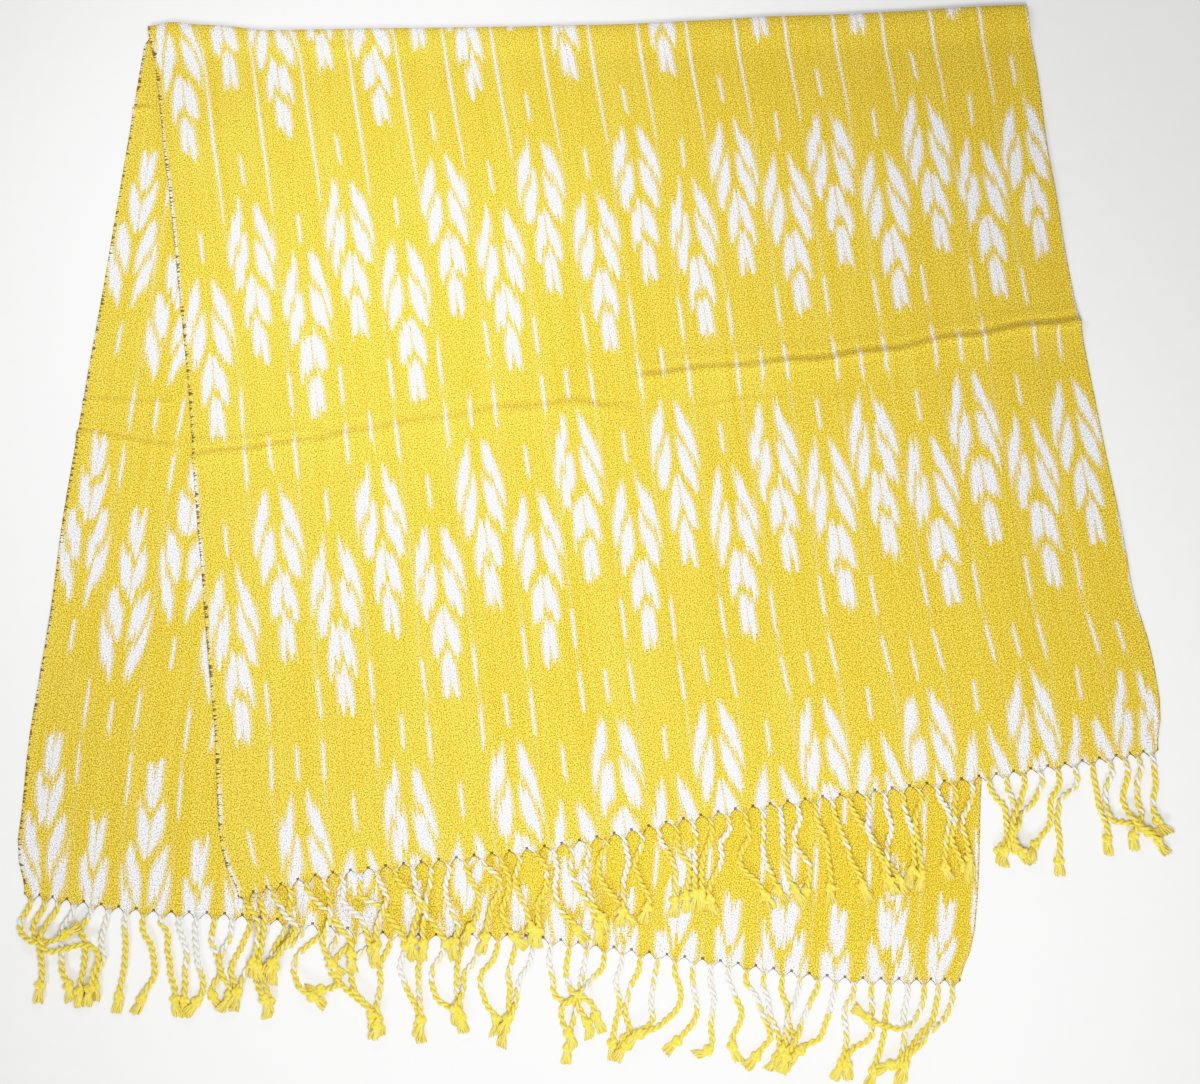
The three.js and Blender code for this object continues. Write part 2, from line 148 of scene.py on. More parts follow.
def lay_point(layer, across, along):
    """Where a point of a layer lies in plan, measured from the fold's left end."""
    left = read_table(layer["left"], along)
    right = read_table(layer["right"], along)
    sides = eased(1 - across / DRAW_IN_DEPTH) - eased(1 - (CLOTH_WIDTH - across) / DRAW_IN_DEPTH)
    inset = DRAW_IN * sides * eased(1 - (layer["length"] - along) / DRAW_IN_REACH)
    u = across + left + (right - left) * across / CLOTH_WIDTH + inset
    hem_share = eased(1 - (layer["length"] - along) / HEM_BOW_REACH)
    v = along + hem_share * read_table(layer["hem"], across)
    turn = layer["turn"]
    from_fold = along * COS - turn * across * SIN
    bow = read_table(FOLD_BOW, across) * eased(1 - from_fold / BOW_REACH)
    return u * COS + turn * v * SIN, turn * u * SIN - v * COS + bow


def step_down(x, y):
    """1 where the cloth lies on the under layer, 0 on the surface past its right selvedge."""
    along = -x * SIN - y * COS
    past = x * COS - y * SIN - CLOTH_WIDTH - read_table(UNDER["right"], along)
    return 1 - eased((past - STEP_START) / STEP_LENGTH)


def rest_height(layer, x, y):
    """Height of a layer's middle where it lies flat."""
    on_under = step_down(x, y) if layer is OVER else 0.0
    return UNDER_REST + (OVER_REST - UNDER_REST) * on_under


def relief(creases, lifts, across, along):
    """Height of the creases and lifted selvedges over the flat cloth."""
    swell = np.zeros_like(across)
    ridge = np.zeros_like(across)
    for line, swell_high, swell_half, ridge_high, ridge_half in creases:
        first, last = line[0][0], line[-1][0]
        share = (across - first) / (last - first)
        past = along - read_table(line, across) + CREASE_WANDER * np.sin(across / 11.0 + first)
        off = np.abs(past)
        start = 1.0 if first == 0 else eased((across - first) / CREASE_FADE_IN)
        end = 1.0 if last == CLOTH_WIDTH else eased((1 - share) * CREASE_FADE_OUT)
        uneven = 0.86 + 0.14 * np.sin(across / 27.0 + first)
        swell = np.maximum(swell, swell_high * eased(1 - off / swell_half) * start * end)
        trough = TROUGH_SHARE * eased(1 - np.abs(past / ridge_half + TROUGH_AT))
        ridge = ridge + ridge_high * uneven * (eased(1 - off / ridge_half) - trough) * start * end
    for edge, middle, high, half, depth in lifts:
        sideways = eased(1 - np.abs(across - edge) / depth)
        swell = np.maximum(swell, high * sideways * eased(1 - np.abs(along - middle) / half))
    return swell + ridge


def waves(across, along):
    """The slow unevenness of cloth that has been laid by hand, from 0 to 1, as four crossed waves."""
    slow = np.sin(across / 61.0 + 1.3 * np.sin(along / 170.0)) * np.sin(along / 88.0 + across / 240.0)
    quick = np.sin(across / 23.0 + along / 57.0) * np.sin(along / 41.0 - across / 95.0)
    return 0.5 + 0.35 * slow + 0.15 * quick


def warp_stray(across, cloth_v):
    """How far sideways the warp threads have strayed at a place along the cloth."""
    stray = read_table(WARP_STRAY[0][1], across)
    for (before, _), (at, table) in zip(WARP_STRAY, WARP_STRAY[1:]):
        share = eased((cloth_v - FOLD_AT - before) / (at - before))
        stray = stray + (read_table(table, across) - stray) * share
    return stray


# The sheet is a grid. Its rows run from the under hem, round the fold, to the over hem, and each
# has a plan, a height and its place along the whole cloth. At the hems, the edge is drawn out at
# each strand's root and let back between the roots.
COLUMN_COUNT = STRANDS * 4 + 1
HEM_ROWS = [0.0, 1.5, 3.5, 6.0, 9.5, 15.0, 24.0]  # distances from the hem
SCALLOP_OUT, SCALLOP_BACK, SCALLOP_REACH = 0.5, 1.2, 9.0
columns = np.linspace(0.0, CLOTH_WIDTH, COLUMN_COUNT)
rows_x, rows_y, rows_z, rows_v = [], [], [], []


def hem_scallop(from_hem):
    """How far each column is drawn out at some distance from the hem."""
    between = np.abs(np.cos(math.pi * columns / ROOT_PITCH))
    return (SCALLOP_OUT - SCALLOP_BACK * between**2) * eased(1 - from_hem / SCALLOP_REACH)


def add_row(layer, along, height, cloth_v):
    """Adds one row of the sheet."""
    x, y = lay_point(layer, columns, along)
    rows_x.append(x)
    rows_y.append(y)
    rows_z.append(height)
    rows_v.append(cloth_v)


# The under layer's rows, from its hem to the fold's lip, closer together across its creases. It is
# flat where the over layer lies on it, and beside the fold.
UNDER_LAST = 52.0  # the last row that is straight across
BARE_EDGE, FOLD_EDGE = 7.0, 40.0  # over these distances its relief grows
lip = (UNDER_STOP - columns * SIN) / COS
under_alongs = [UNDER_LENGTH - from_hem + hem_scallop(from_hem) for from_hem in HEM_ROWS]
under_alongs += [*range(695, 572, -20), *range(566, 546, -6), *range(535, 390, -20), *range(378, 324, -2)]
under_alongs += [*range(312, 95, -20), *range(86, 66, -2), UNDER_LAST]
under_alongs += [UNDER_LAST + (lip - UNDER_LAST) * share for share in (0.3, 0.6, 0.85)]
for along in under_alongs:
    along = along + 0 * columns
    bare = 1 - eased((columns - along * 2 * SIN + BARE_EDGE) / BARE_EDGE)
    past_fold = eased((along * COS + columns * SIN - UNDER_STOP) / FOLD_EDGE)
    shaped = relief(UNDER_CREASES, UNDER_LIFTS, columns, along) + UNDER_WAVES * waves(columns + 90.0, along)
    add_row(UNDER, along, UNDER_REST + np.maximum(shaped * bare * past_fold, 0.0), UNDER_LENGTH - along)

# The fold's section: the lip on the surface, the soft roll, and the slope down onto the layer.
# It is slightly uneven along the fold, and pinched in one place.
FOLD_UNEVEN = 0.35
fold_v = UNDER_LENGTH + columns * TAN
roll_top = UNDER_REST + 2 * FOLD_RADIUS
section = [(-LIP_BACK, UNDER_REST)]
for angle in np.linspace(-math.pi / 2, math.pi / 2, 13):
    section.append((ROLL_DEPTH * (math.cos(angle) - 1), UNDER_REST + FOLD_RADIUS * (1 + math.sin(angle))))
for share in np.linspace(0.0, 1.0, 9)[1:]:
    height = roll_top + (OVER_REST - roll_top) * eased(share)
    section.append((-ROLL_DEPTH - share * (FOLD_SETTLE - ROLL_DEPTH), height))
travelled = -LIP_BACK
for i, (out, up) in enumerate(section):
    if i:
        travelled += math.dist(section[i - 1], (out, up))
    soft = FOLD_UNEVEN * np.sin(columns / 47.0) * np.sin(columns / 19.0 + 1.0) * eased(up / 3.0)
    pinched = eased((columns - PINCH_LEFT) / 20.0) * eased((PINCH_RIGHT - columns) / 30.0)
    soft = soft + PINCH_HEIGHT * pinched * eased(1 - abs(out + PINCH_BACK) / 4.5)
    add_row(OVER, (-out + columns * SIN) / COS, up + soft, fold_v + travelled)
fold_end_v = fold_v + travelled
settled = (FOLD_SETTLE + columns * SIN) / COS

# The over layer's rows, closer together across its creases: from, to and how many.
over_alongs = []
for start, stop, count in ((settled, 348.0, 17), (348.0, 412.0, 40), (412.0, OVER_LENGTH - HEM_ROWS[-1], 18)):
    over_alongs += [start + (stop - start) * i / count for i in range(1, count + 1)]
over_alongs += [OVER_LENGTH - from_hem + hem_scallop(from_hem) for from_hem in HEM_ROWS[-2::-1]]
for along in over_alongs:
    along = along + 0 * columns
    past_fold = eased((along * COS - columns * SIN - FOLD_SETTLE) / FOLD_SETTLE)
    shaped = relief(OVER_CREASES, OVER_LIFTS, columns, along) + OVER_WAVES * waves(columns, along)
    rest = rest_height(OVER, *lay_point(OVER, columns, along))
    add_row(OVER, along, rest + shaped * past_fold, fold_end_v + along - settled)
cloth_length = float(np.mean(fold_end_v + OVER_LENGTH - settled))

middle = np.stack([np.array(rows_x), np.array(rows_y), np.array(rows_z)], axis=2)
normal = np.cross(np.gradient(middle, axis=1), np.gradient(middle, axis=0))
normal /= np.linalg.norm(normal, axis=2, keepdims=True)


def to_metres(points):
    """From millimetres at the fold's left end to metres in the part's frame."""
    return (np.asarray(points) + (FOLD_CORNER[0], FOLD_CORNER[1], 0.0)) * MM


def shell_faces(rows, cols):
    """Quads of a closed thin shell: both faces of a grid, then its four rims."""
    first = np.arange(rows * cols).reshape(rows, cols)
    second = first + rows * cols
    a, b, c, d = first[:-1, :-1], first[1:, :-1], first[1:, 1:], first[:-1, 1:]
    quads = [np.stack([a, d, c, b], axis=2).reshape(-1, 4)]
    a, b, c, d = second[:-1, :-1], second[1:, :-1], second[1:, 1:], second[:-1, 1:]
    quads.append(np.stack([a, b, c, d], axis=2).reshape(-1, 4))
    rims = [(first[0], second[0]), (second[-1], first[-1]), (second[:, 0], first[:, 0])]
    rims.append((first[:, -1], second[:, -1]))
    for near, far in rims:
        quads.append(np.stack([near[:-1], far[:-1], far[1:], near[1:]], axis=1))
    return np.concatenate(quads)


def cloth_place(layer, along):
    """Where a place on a layer, or past its hem, is along the whole cloth from the under hem."""
    return UNDER_LENGTH - along if layer is UNDER else cloth_length - OVER_LENGTH + along


TAB_START, TAB_REACH = -1.2, 3.6  # past the hem, from where to where a tab becomes a cord
TAB_COLUMNS, TAB_ROWS = 7, 7
TAB_TOP, TAB_BOTTOM, TAB_BULGE, TAB_PLEAT = 0.42, 0.3, 1.5, 0.22
CORD_HALF = 2.3


def hem_tabs(layer):
    """The gathered warp between the hem and each cord: a small tab that narrows to its cord."""
    tabs = []
    for strand in range(STRANDS):
        root = (strand + 0.5) * ROOT_PITCH
        out = np.linspace(TAB_START, TAB_REACH, TAB_ROWS)[:, None]
        share = np.clip(out / TAB_REACH, 0, 1)
        half = ROOT_PITCH / 2 - (ROOT_PITCH / 2 - CORD_HALF) * share**0.5
        side = np.linspace(-1, 1, TAB_COLUMNS)[None, :]
        across = root + side * half
        along = layer["length"] + out + 0 * across
        x, y = lay_point(layer, across, along)
        rest = rest_height(layer, x, y)
        bulge = TAB_BULGE * eased(share) * np.sqrt(np.maximum(0, 1 - (side * 0.9) ** 2))
        pleat = TAB_PLEAT * np.sin(side * 9.0 + strand) * eased(share * 2)
        up = np.stack([x, y, rest + TAB_TOP + bulge + pleat], axis=2)
        down = np.stack([x, y, rest - TAB_BOTTOM + TAB_BOTTOM * share + 0 * side], axis=2)
        warp_at = root + side * ROOT_PITCH / 2 + 0 * out
        cloth_v = cloth_place(layer, along)
        cloth_places = np.stack([warp_at - warp_stray(warp_at, cloth_v), cloth_v, warp_at], axis=2)
        tabs.append((up, down, cloth_places))
    return tabs


def add_piece(name, points, faces, attributes, sharp_angle=None):
    """A mesh object from points in millimetres, with its point attributes and smooth shading."""
    mesh = bpy.data.meshes.new(name)
    mesh.from_pydata(to_metres(points).tolist(), [], faces)
    for label, (kind, values) in attributes.items():
        layer = mesh.attributes.new(label, kind, "POINT")
        field = "vector" if kind == "FLOAT_VECTOR" else "value"
        layer.data.foreach_set(field, np.ascontiguousarray(values, dtype=np.float32).ravel())
    mesh.validate()
    mesh.shade_smooth()
    if sharp_angle is not None:
        mesh.set_sharp_from_angle(angle=sharp_angle)
    made = bpy.data.objects.new(name, mesh)
    bpy.context.scene.collection.objects.link(made)
    return made


# One mesh for the sheet and its tabs. Each point also keeps its place in the cloth: across it with
# the warp's stray taken off, along it, and across it.
cloth_v = np.array(rows_v)
cloth_u = np.broadcast_to(columns, cloth_v.shape)
places = np.stack([cloth_u - warp_stray(cloth_u, cloth_v), cloth_v, cloth_u], axis=2)
shells = [(middle + normal * CLOTH_THICKNESS / 2, middle - normal * CLOTH_THICKNESS / 2, places)]
shells += hem_tabs(UNDER) + hem_tabs(OVER)
shell_points, shell_places, shell_quads = [], [], []
made_points = 0
for shell, (first_face, second_face, shell_place) in enumerate(shells):
    quads = shell_faces(*first_face.shape[:2])
    quads = quads[:, ::-1] if shell else quads  # a tab's grid runs the other way from the sheet's
    shell_quads.append(quads + made_points)
    shell_points += [first_face.reshape(-1, 3), second_face.reshape(-1, 3)]
    shell_places += [shell_place.reshape(-1, 3)] * 2
    made_points += 2 * first_face.shape[0] * first_face.shape[1]
cloth = add_piece(
    "scarf_cloth",
    np.concatenate(shell_points),
    np.concatenate(shell_quads).tolist(),
    {"cloth_mm": ("FLOAT_VECTOR", np.concatenate(shell_places))},
    math.radians(60),
)

# The ikat. The warp is bound and dyed before it is woven, so each white figure has clean sides
# along the threads and ragged ends where the threads have slipped against each other.
# Each figure is a pair of nested leaves over a forked tail, repeated down every column, with a
# dash above it and a line beside it. Where the cloth is folded, the lines run long and thin.
COLUMN_PITCH = 41.85
FIRST_COLUMN_EDGE = 6.1
ROW_PITCH = 250.0
UNDER_SHIFT = 10.3  # the under layer's figures lie this much further along
SHIFT_OVER = 80.0  # and come to it over this distance round the fold
# How far past the fold each column's second figure has its tip:
FIGURE_TIPS = [232, 168, 223, 160, 223, 150, 205, 141, 204, 140, 208, 153, 193, 158, 201, 156, 200, 169]
ABOVE_TIP, ABOVE_LINE = 60.0, 66.0  # where a row of figures, and of lines, starts above its tips
LEAF_SPAN, LEAF_WIDE = 150.0, 24.0  # what the figure's outlines are scaled by
# Outlines by distance below the figure's tip, then half the width there. Outer leaf and tail base:
LEAVES_OUTER = [
    (0, 6.6), (3, 7.6), (8, 9.8), (15, 13), (25, 16.6), (35, 19), (45, 20.4), (58, 20.8), (60, 20.6),
    (60.5, 0), (69, 0), (69.5, 2.2), (74, 4.8), (80, 7.8), (88, 10.2), (96, 11.2), (106, 11.4),
    (112, 11.4), (112.5, 0), (150, 0),
]
LEAVES_INNER = [
    (0, 6.9), (4, 6.2), (20, 6.3), (27, 7.8), (35, 10.8), (43, 14), (52, 17.5), (60, 20.4), (60.5, 23),
    (69, 23), (69.5, 1.0), (72, 0.5), (88, 0.6), (96, 1.4), (100, 3.4), (106, 7), (112, 10.4),
    (112.5, 23), (150, 23),
]
# Inner leaf and forked tail:
TAILS_OUTER = [
    (0, 0), (30.5, 0), (31, 4.8), (36, 7), (42, 10), (50, 13.4), (58, 15.6), (66, 16.6), (74, 16.6),
    (80, 16.4), (80.5, 0), (104.5, 0), (105, 0.8), (109, 3.2), (114, 5.4), (120, 6.3), (132, 6.5),
    (142, 6.5), (142.5, 0), (150, 0),
]
TAILS_INNER = [
    (0, 23), (30.5, 23), (31, 4.8), (34, 4.0), (40, 3.8), (52, 3.8), (58, 4.8), (64, 7.0), (70, 9.6),
    (76, 12.6), (80, 15), (80.5, 23), (104.5, 23), (105, 0), (127, 0), (133, 1), (138, 1.8), (142, 3),
    (142.5, 23), (150, 23),
]
LEAF_LET_OUT = 1.0  # how far a leaf's inner side is let out, towards its column's middle
# Threads slip on their own, in bundles and in groups, and half figures and figures slip whole.
# How wide each is, and how far apart along the warp its slips can be:
WARP_THREAD, WARP_BUNDLE, WARP_GROUP = 1.3, 2.9, 6.3
THREAD_SLIP, BUNDLE_SLIP, GROUP_SLIP, HALF_SLIP, FIGURE_SLIP = 7.0, 9.0, 4.0, 3.0, 2.0
WARP_SLIPS = THREAD_SLIP + BUNDLE_SLIP + GROUP_SLIP
DASH_ABOVE, DASH_HALF = 26.5, 12.5  # a dash's middle above the tip, and half its length
LINE_PLACES, LINE_HALF = (149.5, -49.5), 15.5  # the lines' middles below a tip, and half their length
THIN_HALF, THIN_CRISP = 1.44, 1.55  # half a dash's or line's width, and how crisp its sides are
FOLD_LINE_ABOVE, FOLD_LINE_HALF = 95.0, 82.0  # the long thin lines that run over the fold
FOLD_LINE_WIDE, FOLD_LINE_TAPER, FOLD_LINE_CRISP = 1.45, 0.009, 1.8
UNDER_SLIPS_MORE, UNDER_WIDER = 0.3, 0.45  # at the under layer's right: share of slip, and a side
WHITE_STARTS, WHITE_FULL = 0.144, 2.144  # how far inside an outline the white starts, and is full
BLEED_STARTS, BLEED_FULL, BLEED_MOST = -2.0, 0.4, 0.32  # the pale rim where the dye has bled
MIDWAY_STARTS, MIDWAY_FULL, FADE_MOST = 2.6, 0.4, 0.24  # faded warps midway between the columns
FAR = 20.0  # far enough in or out to settle what is white
# How much each noise deepens the yellow, what that is counted from, and how much deeper it is at
# the cloth's right and on the under layer:
STREAK_DEPTH, BROAD_DEPTH, GRAIN_DEPTH, SLUB_DEPTH = 1.0, 0.5, 4.8, 0.5
DEPTH_FROM, RIGHT_DEPTH, UNDER_DEPTH = -2.97, 0.3, 0.12
# How bright a thread is by its grain, and where a dark speck or fleck starts and how dark it is:
TONE_FROM, GRAIN_TONE = 2.05, -2.1
SPECK_STARTS, SPECK_TONE, FLECK_STARTS, FLECK_TONE = 0.64, -0.08, 0.735, -0.28
# The right selvedge's uneven dark line, a painted shadow, and dark spots along the left selvedge
# and at the tops of the hem's arches, painted shade with some dirt:
RIGHT_SHADOW_TONE, SPOT_SHARE = -0.45, 0.88
ARCH_SPOT_HALF, ARCH_SPOT_REACH = 1.2, 2.4
PALE_YELLOW = "#EACE50"
DEEP_YELLOW = "#DAB31E"
UNDYED_COTTON = "#EEEEF2"
SHADE_AND_DIRT_BROWN = "#4B3A16"
MIX_FROM, MIX_TO, MIX_OUT = 6, 7, 2  # the colour sockets of a Mix node


def linear(colour):
    """An sRGB hex colour as linear RGBA."""
    parts = [int(colour[i : i + 2], 16) / 255 for i in (1, 3, 5)]
    return [p / 12.92 if p <= 0.04045 else ((p + 0.055) / 1.055) ** 2.4 for p in parts] + [1.0]


def add_node(tree, kind, settings=None, inputs=None):
    """Adds one shader node with its settings, and a value or a linked socket for each input."""
    made = tree.nodes.new(kind)
    for name, value in (settings or {}).items():
        setattr(made, name, value)
    for name, value in (inputs or {}).items():
        if isinstance(value, bpy.types.NodeSocket):
            tree.links.new(value, made.inputs[name])
        else:
            made.inputs[name].default_value = value
    return made


def new_material(name):
    """An empty node material and its tree."""
    material = bpy.data.materials.new(name)
    material.use_nodes = True
    material.node_tree.nodes.clear()
    return material, material.node_tree


# The pattern, worked out step by step: each value's name, how it is made, and what from.
figure_count = len(FIGURE_TIPS)
tip_points = [((k + 0.5) / figure_count, tip / ROW_PITCH) for k, tip in enumerate(FIGURE_TIPS)]
pattern = [
    # Where a point is in the ikat's columns, and how far it is from its column's middle.
    ("before_fold", "SUBTRACT", FOLD_AT + SHIFT_OVER / 2, "cloth_along"),
    ("under_raw", "DIVIDE", "before_fold", SHIFT_OVER),
    ("under_most", "MINIMUM", "under_raw", 1.0),
    ("under_share", "MAXIMUM", "under_most", 0.0),
    ("under_right", "MULTIPLY", "under_share", "across"),
    ("shift", "MULTIPLY", "under_share", UNDER_SHIFT),
    ("along", "SUBTRACT", "cloth_along", "shift"),
    ("from_fold", "SUBTRACT", "along", FOLD_AT),
    ("in_columns", "SUBTRACT", "across", FIRST_COLUMN_EDGE),
    ("column_place", "DIVIDE", "in_columns", COLUMN_PITCH),
    ("column", "FLOOR", "column_place"),
    ("column_middle", "ADD", "column", 0.5),
    ("from_middle", "SUBTRACT", "column_place", "column_middle"),
    ("from_middle_share", "ABSOLUTE", "from_middle"),
    ("off", "MULTIPLY", "from_middle_share", COLUMN_PITCH),
    ("off_midway_share", "SUBTRACT", 0.5, "from_middle_share"),
    ("off_midway", "MULTIPLY", "off_midway_share", COLUMN_PITCH),
    ("right_half", "GREATER_THAN", "from_middle", 0.0),
    ("half_column", "MULTIPLY_ADD", "right_half", 0.5, "column"),
    ("first_column", "GREATER_THAN", "column", -0.5),
    ("last_column", "LESS_THAN", "column", figure_count - 0.5),
    ("has_figures", "MULTIPLY", "first_column", "last_column"),
    # How far it is below the tip of its figure, and below the line between two tips.
    ("tip_at_column", "DIVIDE", "column_middle", figure_count),
    ("tip_share", "CURVE", "tip_at_column", tip_points),
    ("tip", "MULTIPLY", "tip_share", ROW_PITCH),
    ("below_tip_woven", "SUBTRACT", "from_fold", "tip"),
    ("tip_at_place", "DIVIDE", "column_place", figure_count),
    ("tip_between_share", "CURVE", "tip_at_place", tip_points),
    ("tip_between", "MULTIPLY", "tip_between_share", ROW_PITCH),
    ("below_between_woven", "SUBTRACT", "from_fold", "tip_between"),
    ("row_place", "ADD", "below_tip_woven", ABOVE_TIP),
    ("row_share", "DIVIDE", "row_place", ROW_PITCH),
    ("row", "FLOOR", "row_share"),
    # How far threads, bundles, groups, half figures and whole figures have slipped along the warp.
    ("thread", "SNAP", "across", WARP_THREAD),
    ("bundle", "SNAP", "across", WARP_BUNDLE),
    ("group", "SNAP", "across", WARP_GROUP),
    ("thread_chance", "CHANCE", "thread", "row"),
    ("bundle_chance", "CHANCE", "bundle", "row"),
    ("group_chance", "CHANCE", "group", "row"),
    ("half_chance", "CHANCE", "half_column", "row"),
    ("figure_chance", "CHANCE", "column", "row"),
    ("thread_slip", "MULTIPLY_ADD", "thread_chance", THREAD_SLIP, -WARP_SLIPS / 2),
    ("bundle_slip", "MULTIPLY_ADD", "bundle_chance", BUNDLE_SLIP, "thread_slip"),
    ("even_slip", "MULTIPLY_ADD", "group_chance", GROUP_SLIP, "bundle_slip"),
    ("slip_more", "MULTIPLY_ADD", "under_right", UNDER_SLIPS_MORE / CLOTH_WIDTH, 1.0),
    ("warp_slip", "MULTIPLY", "even_slip", "slip_more"),
    ("half_slip", "MULTIPLY_ADD", "half_chance", HALF_SLIP, -(HALF_SLIP + FIGURE_SLIP) / 2),
    ("figure_slip", "MULTIPLY_ADD", "figure_chance", FIGURE_SLIP, "half_slip"),
    ("slip", "ADD", "warp_slip", "figure_slip"),
    ("below_tip_slipped", "ADD", "below_tip_woven", "slip"),
    ("below_tip", "WRAP", "below_tip_slipped", ROW_PITCH - ABOVE_TIP, -ABOVE_TIP),
    ("below_between_slipped", "ADD", "below_between_woven", "warp_slip"),
    ("below_between", "WRAP", "below_between_slipped", ROW_PITCH - ABOVE_LINE, -ABOVE_LINE),
    # How far inside a leaf or a tail it is: above 0 is inside.
    ("curve_at", "DIVIDE", "below_tip", LEAF_SPAN),
]
for leaf, outer, inner in (("leaves", LEAVES_OUTER, LEAVES_INNER), ("tails", TAILS_OUTER, TAILS_INNER)):
    for side, outline in (("_outer", outer), ("_inner", inner)):
        points = [(at / LEAF_SPAN, half / LEAF_WIDE) for at, half in outline]
        pattern.append((leaf + side + "_share", "CURVE", "curve_at", points))
        pattern.append((leaf + side, "MULTIPLY", leaf + side + "_share", LEAF_WIDE))
    pattern += [
        (leaf + "_in_by", "SUBTRACT", leaf + "_outer", "off"),
        (leaf + "_off_inner", "SUBTRACT", "off", leaf + "_inner"),
        (leaf + "_out_by", "ADD", leaf + "_off_inner", LEAF_LET_OUT),
        (leaf + "_by", "MINIMUM", leaf + "_in_by", leaf + "_out_by"),
    ]
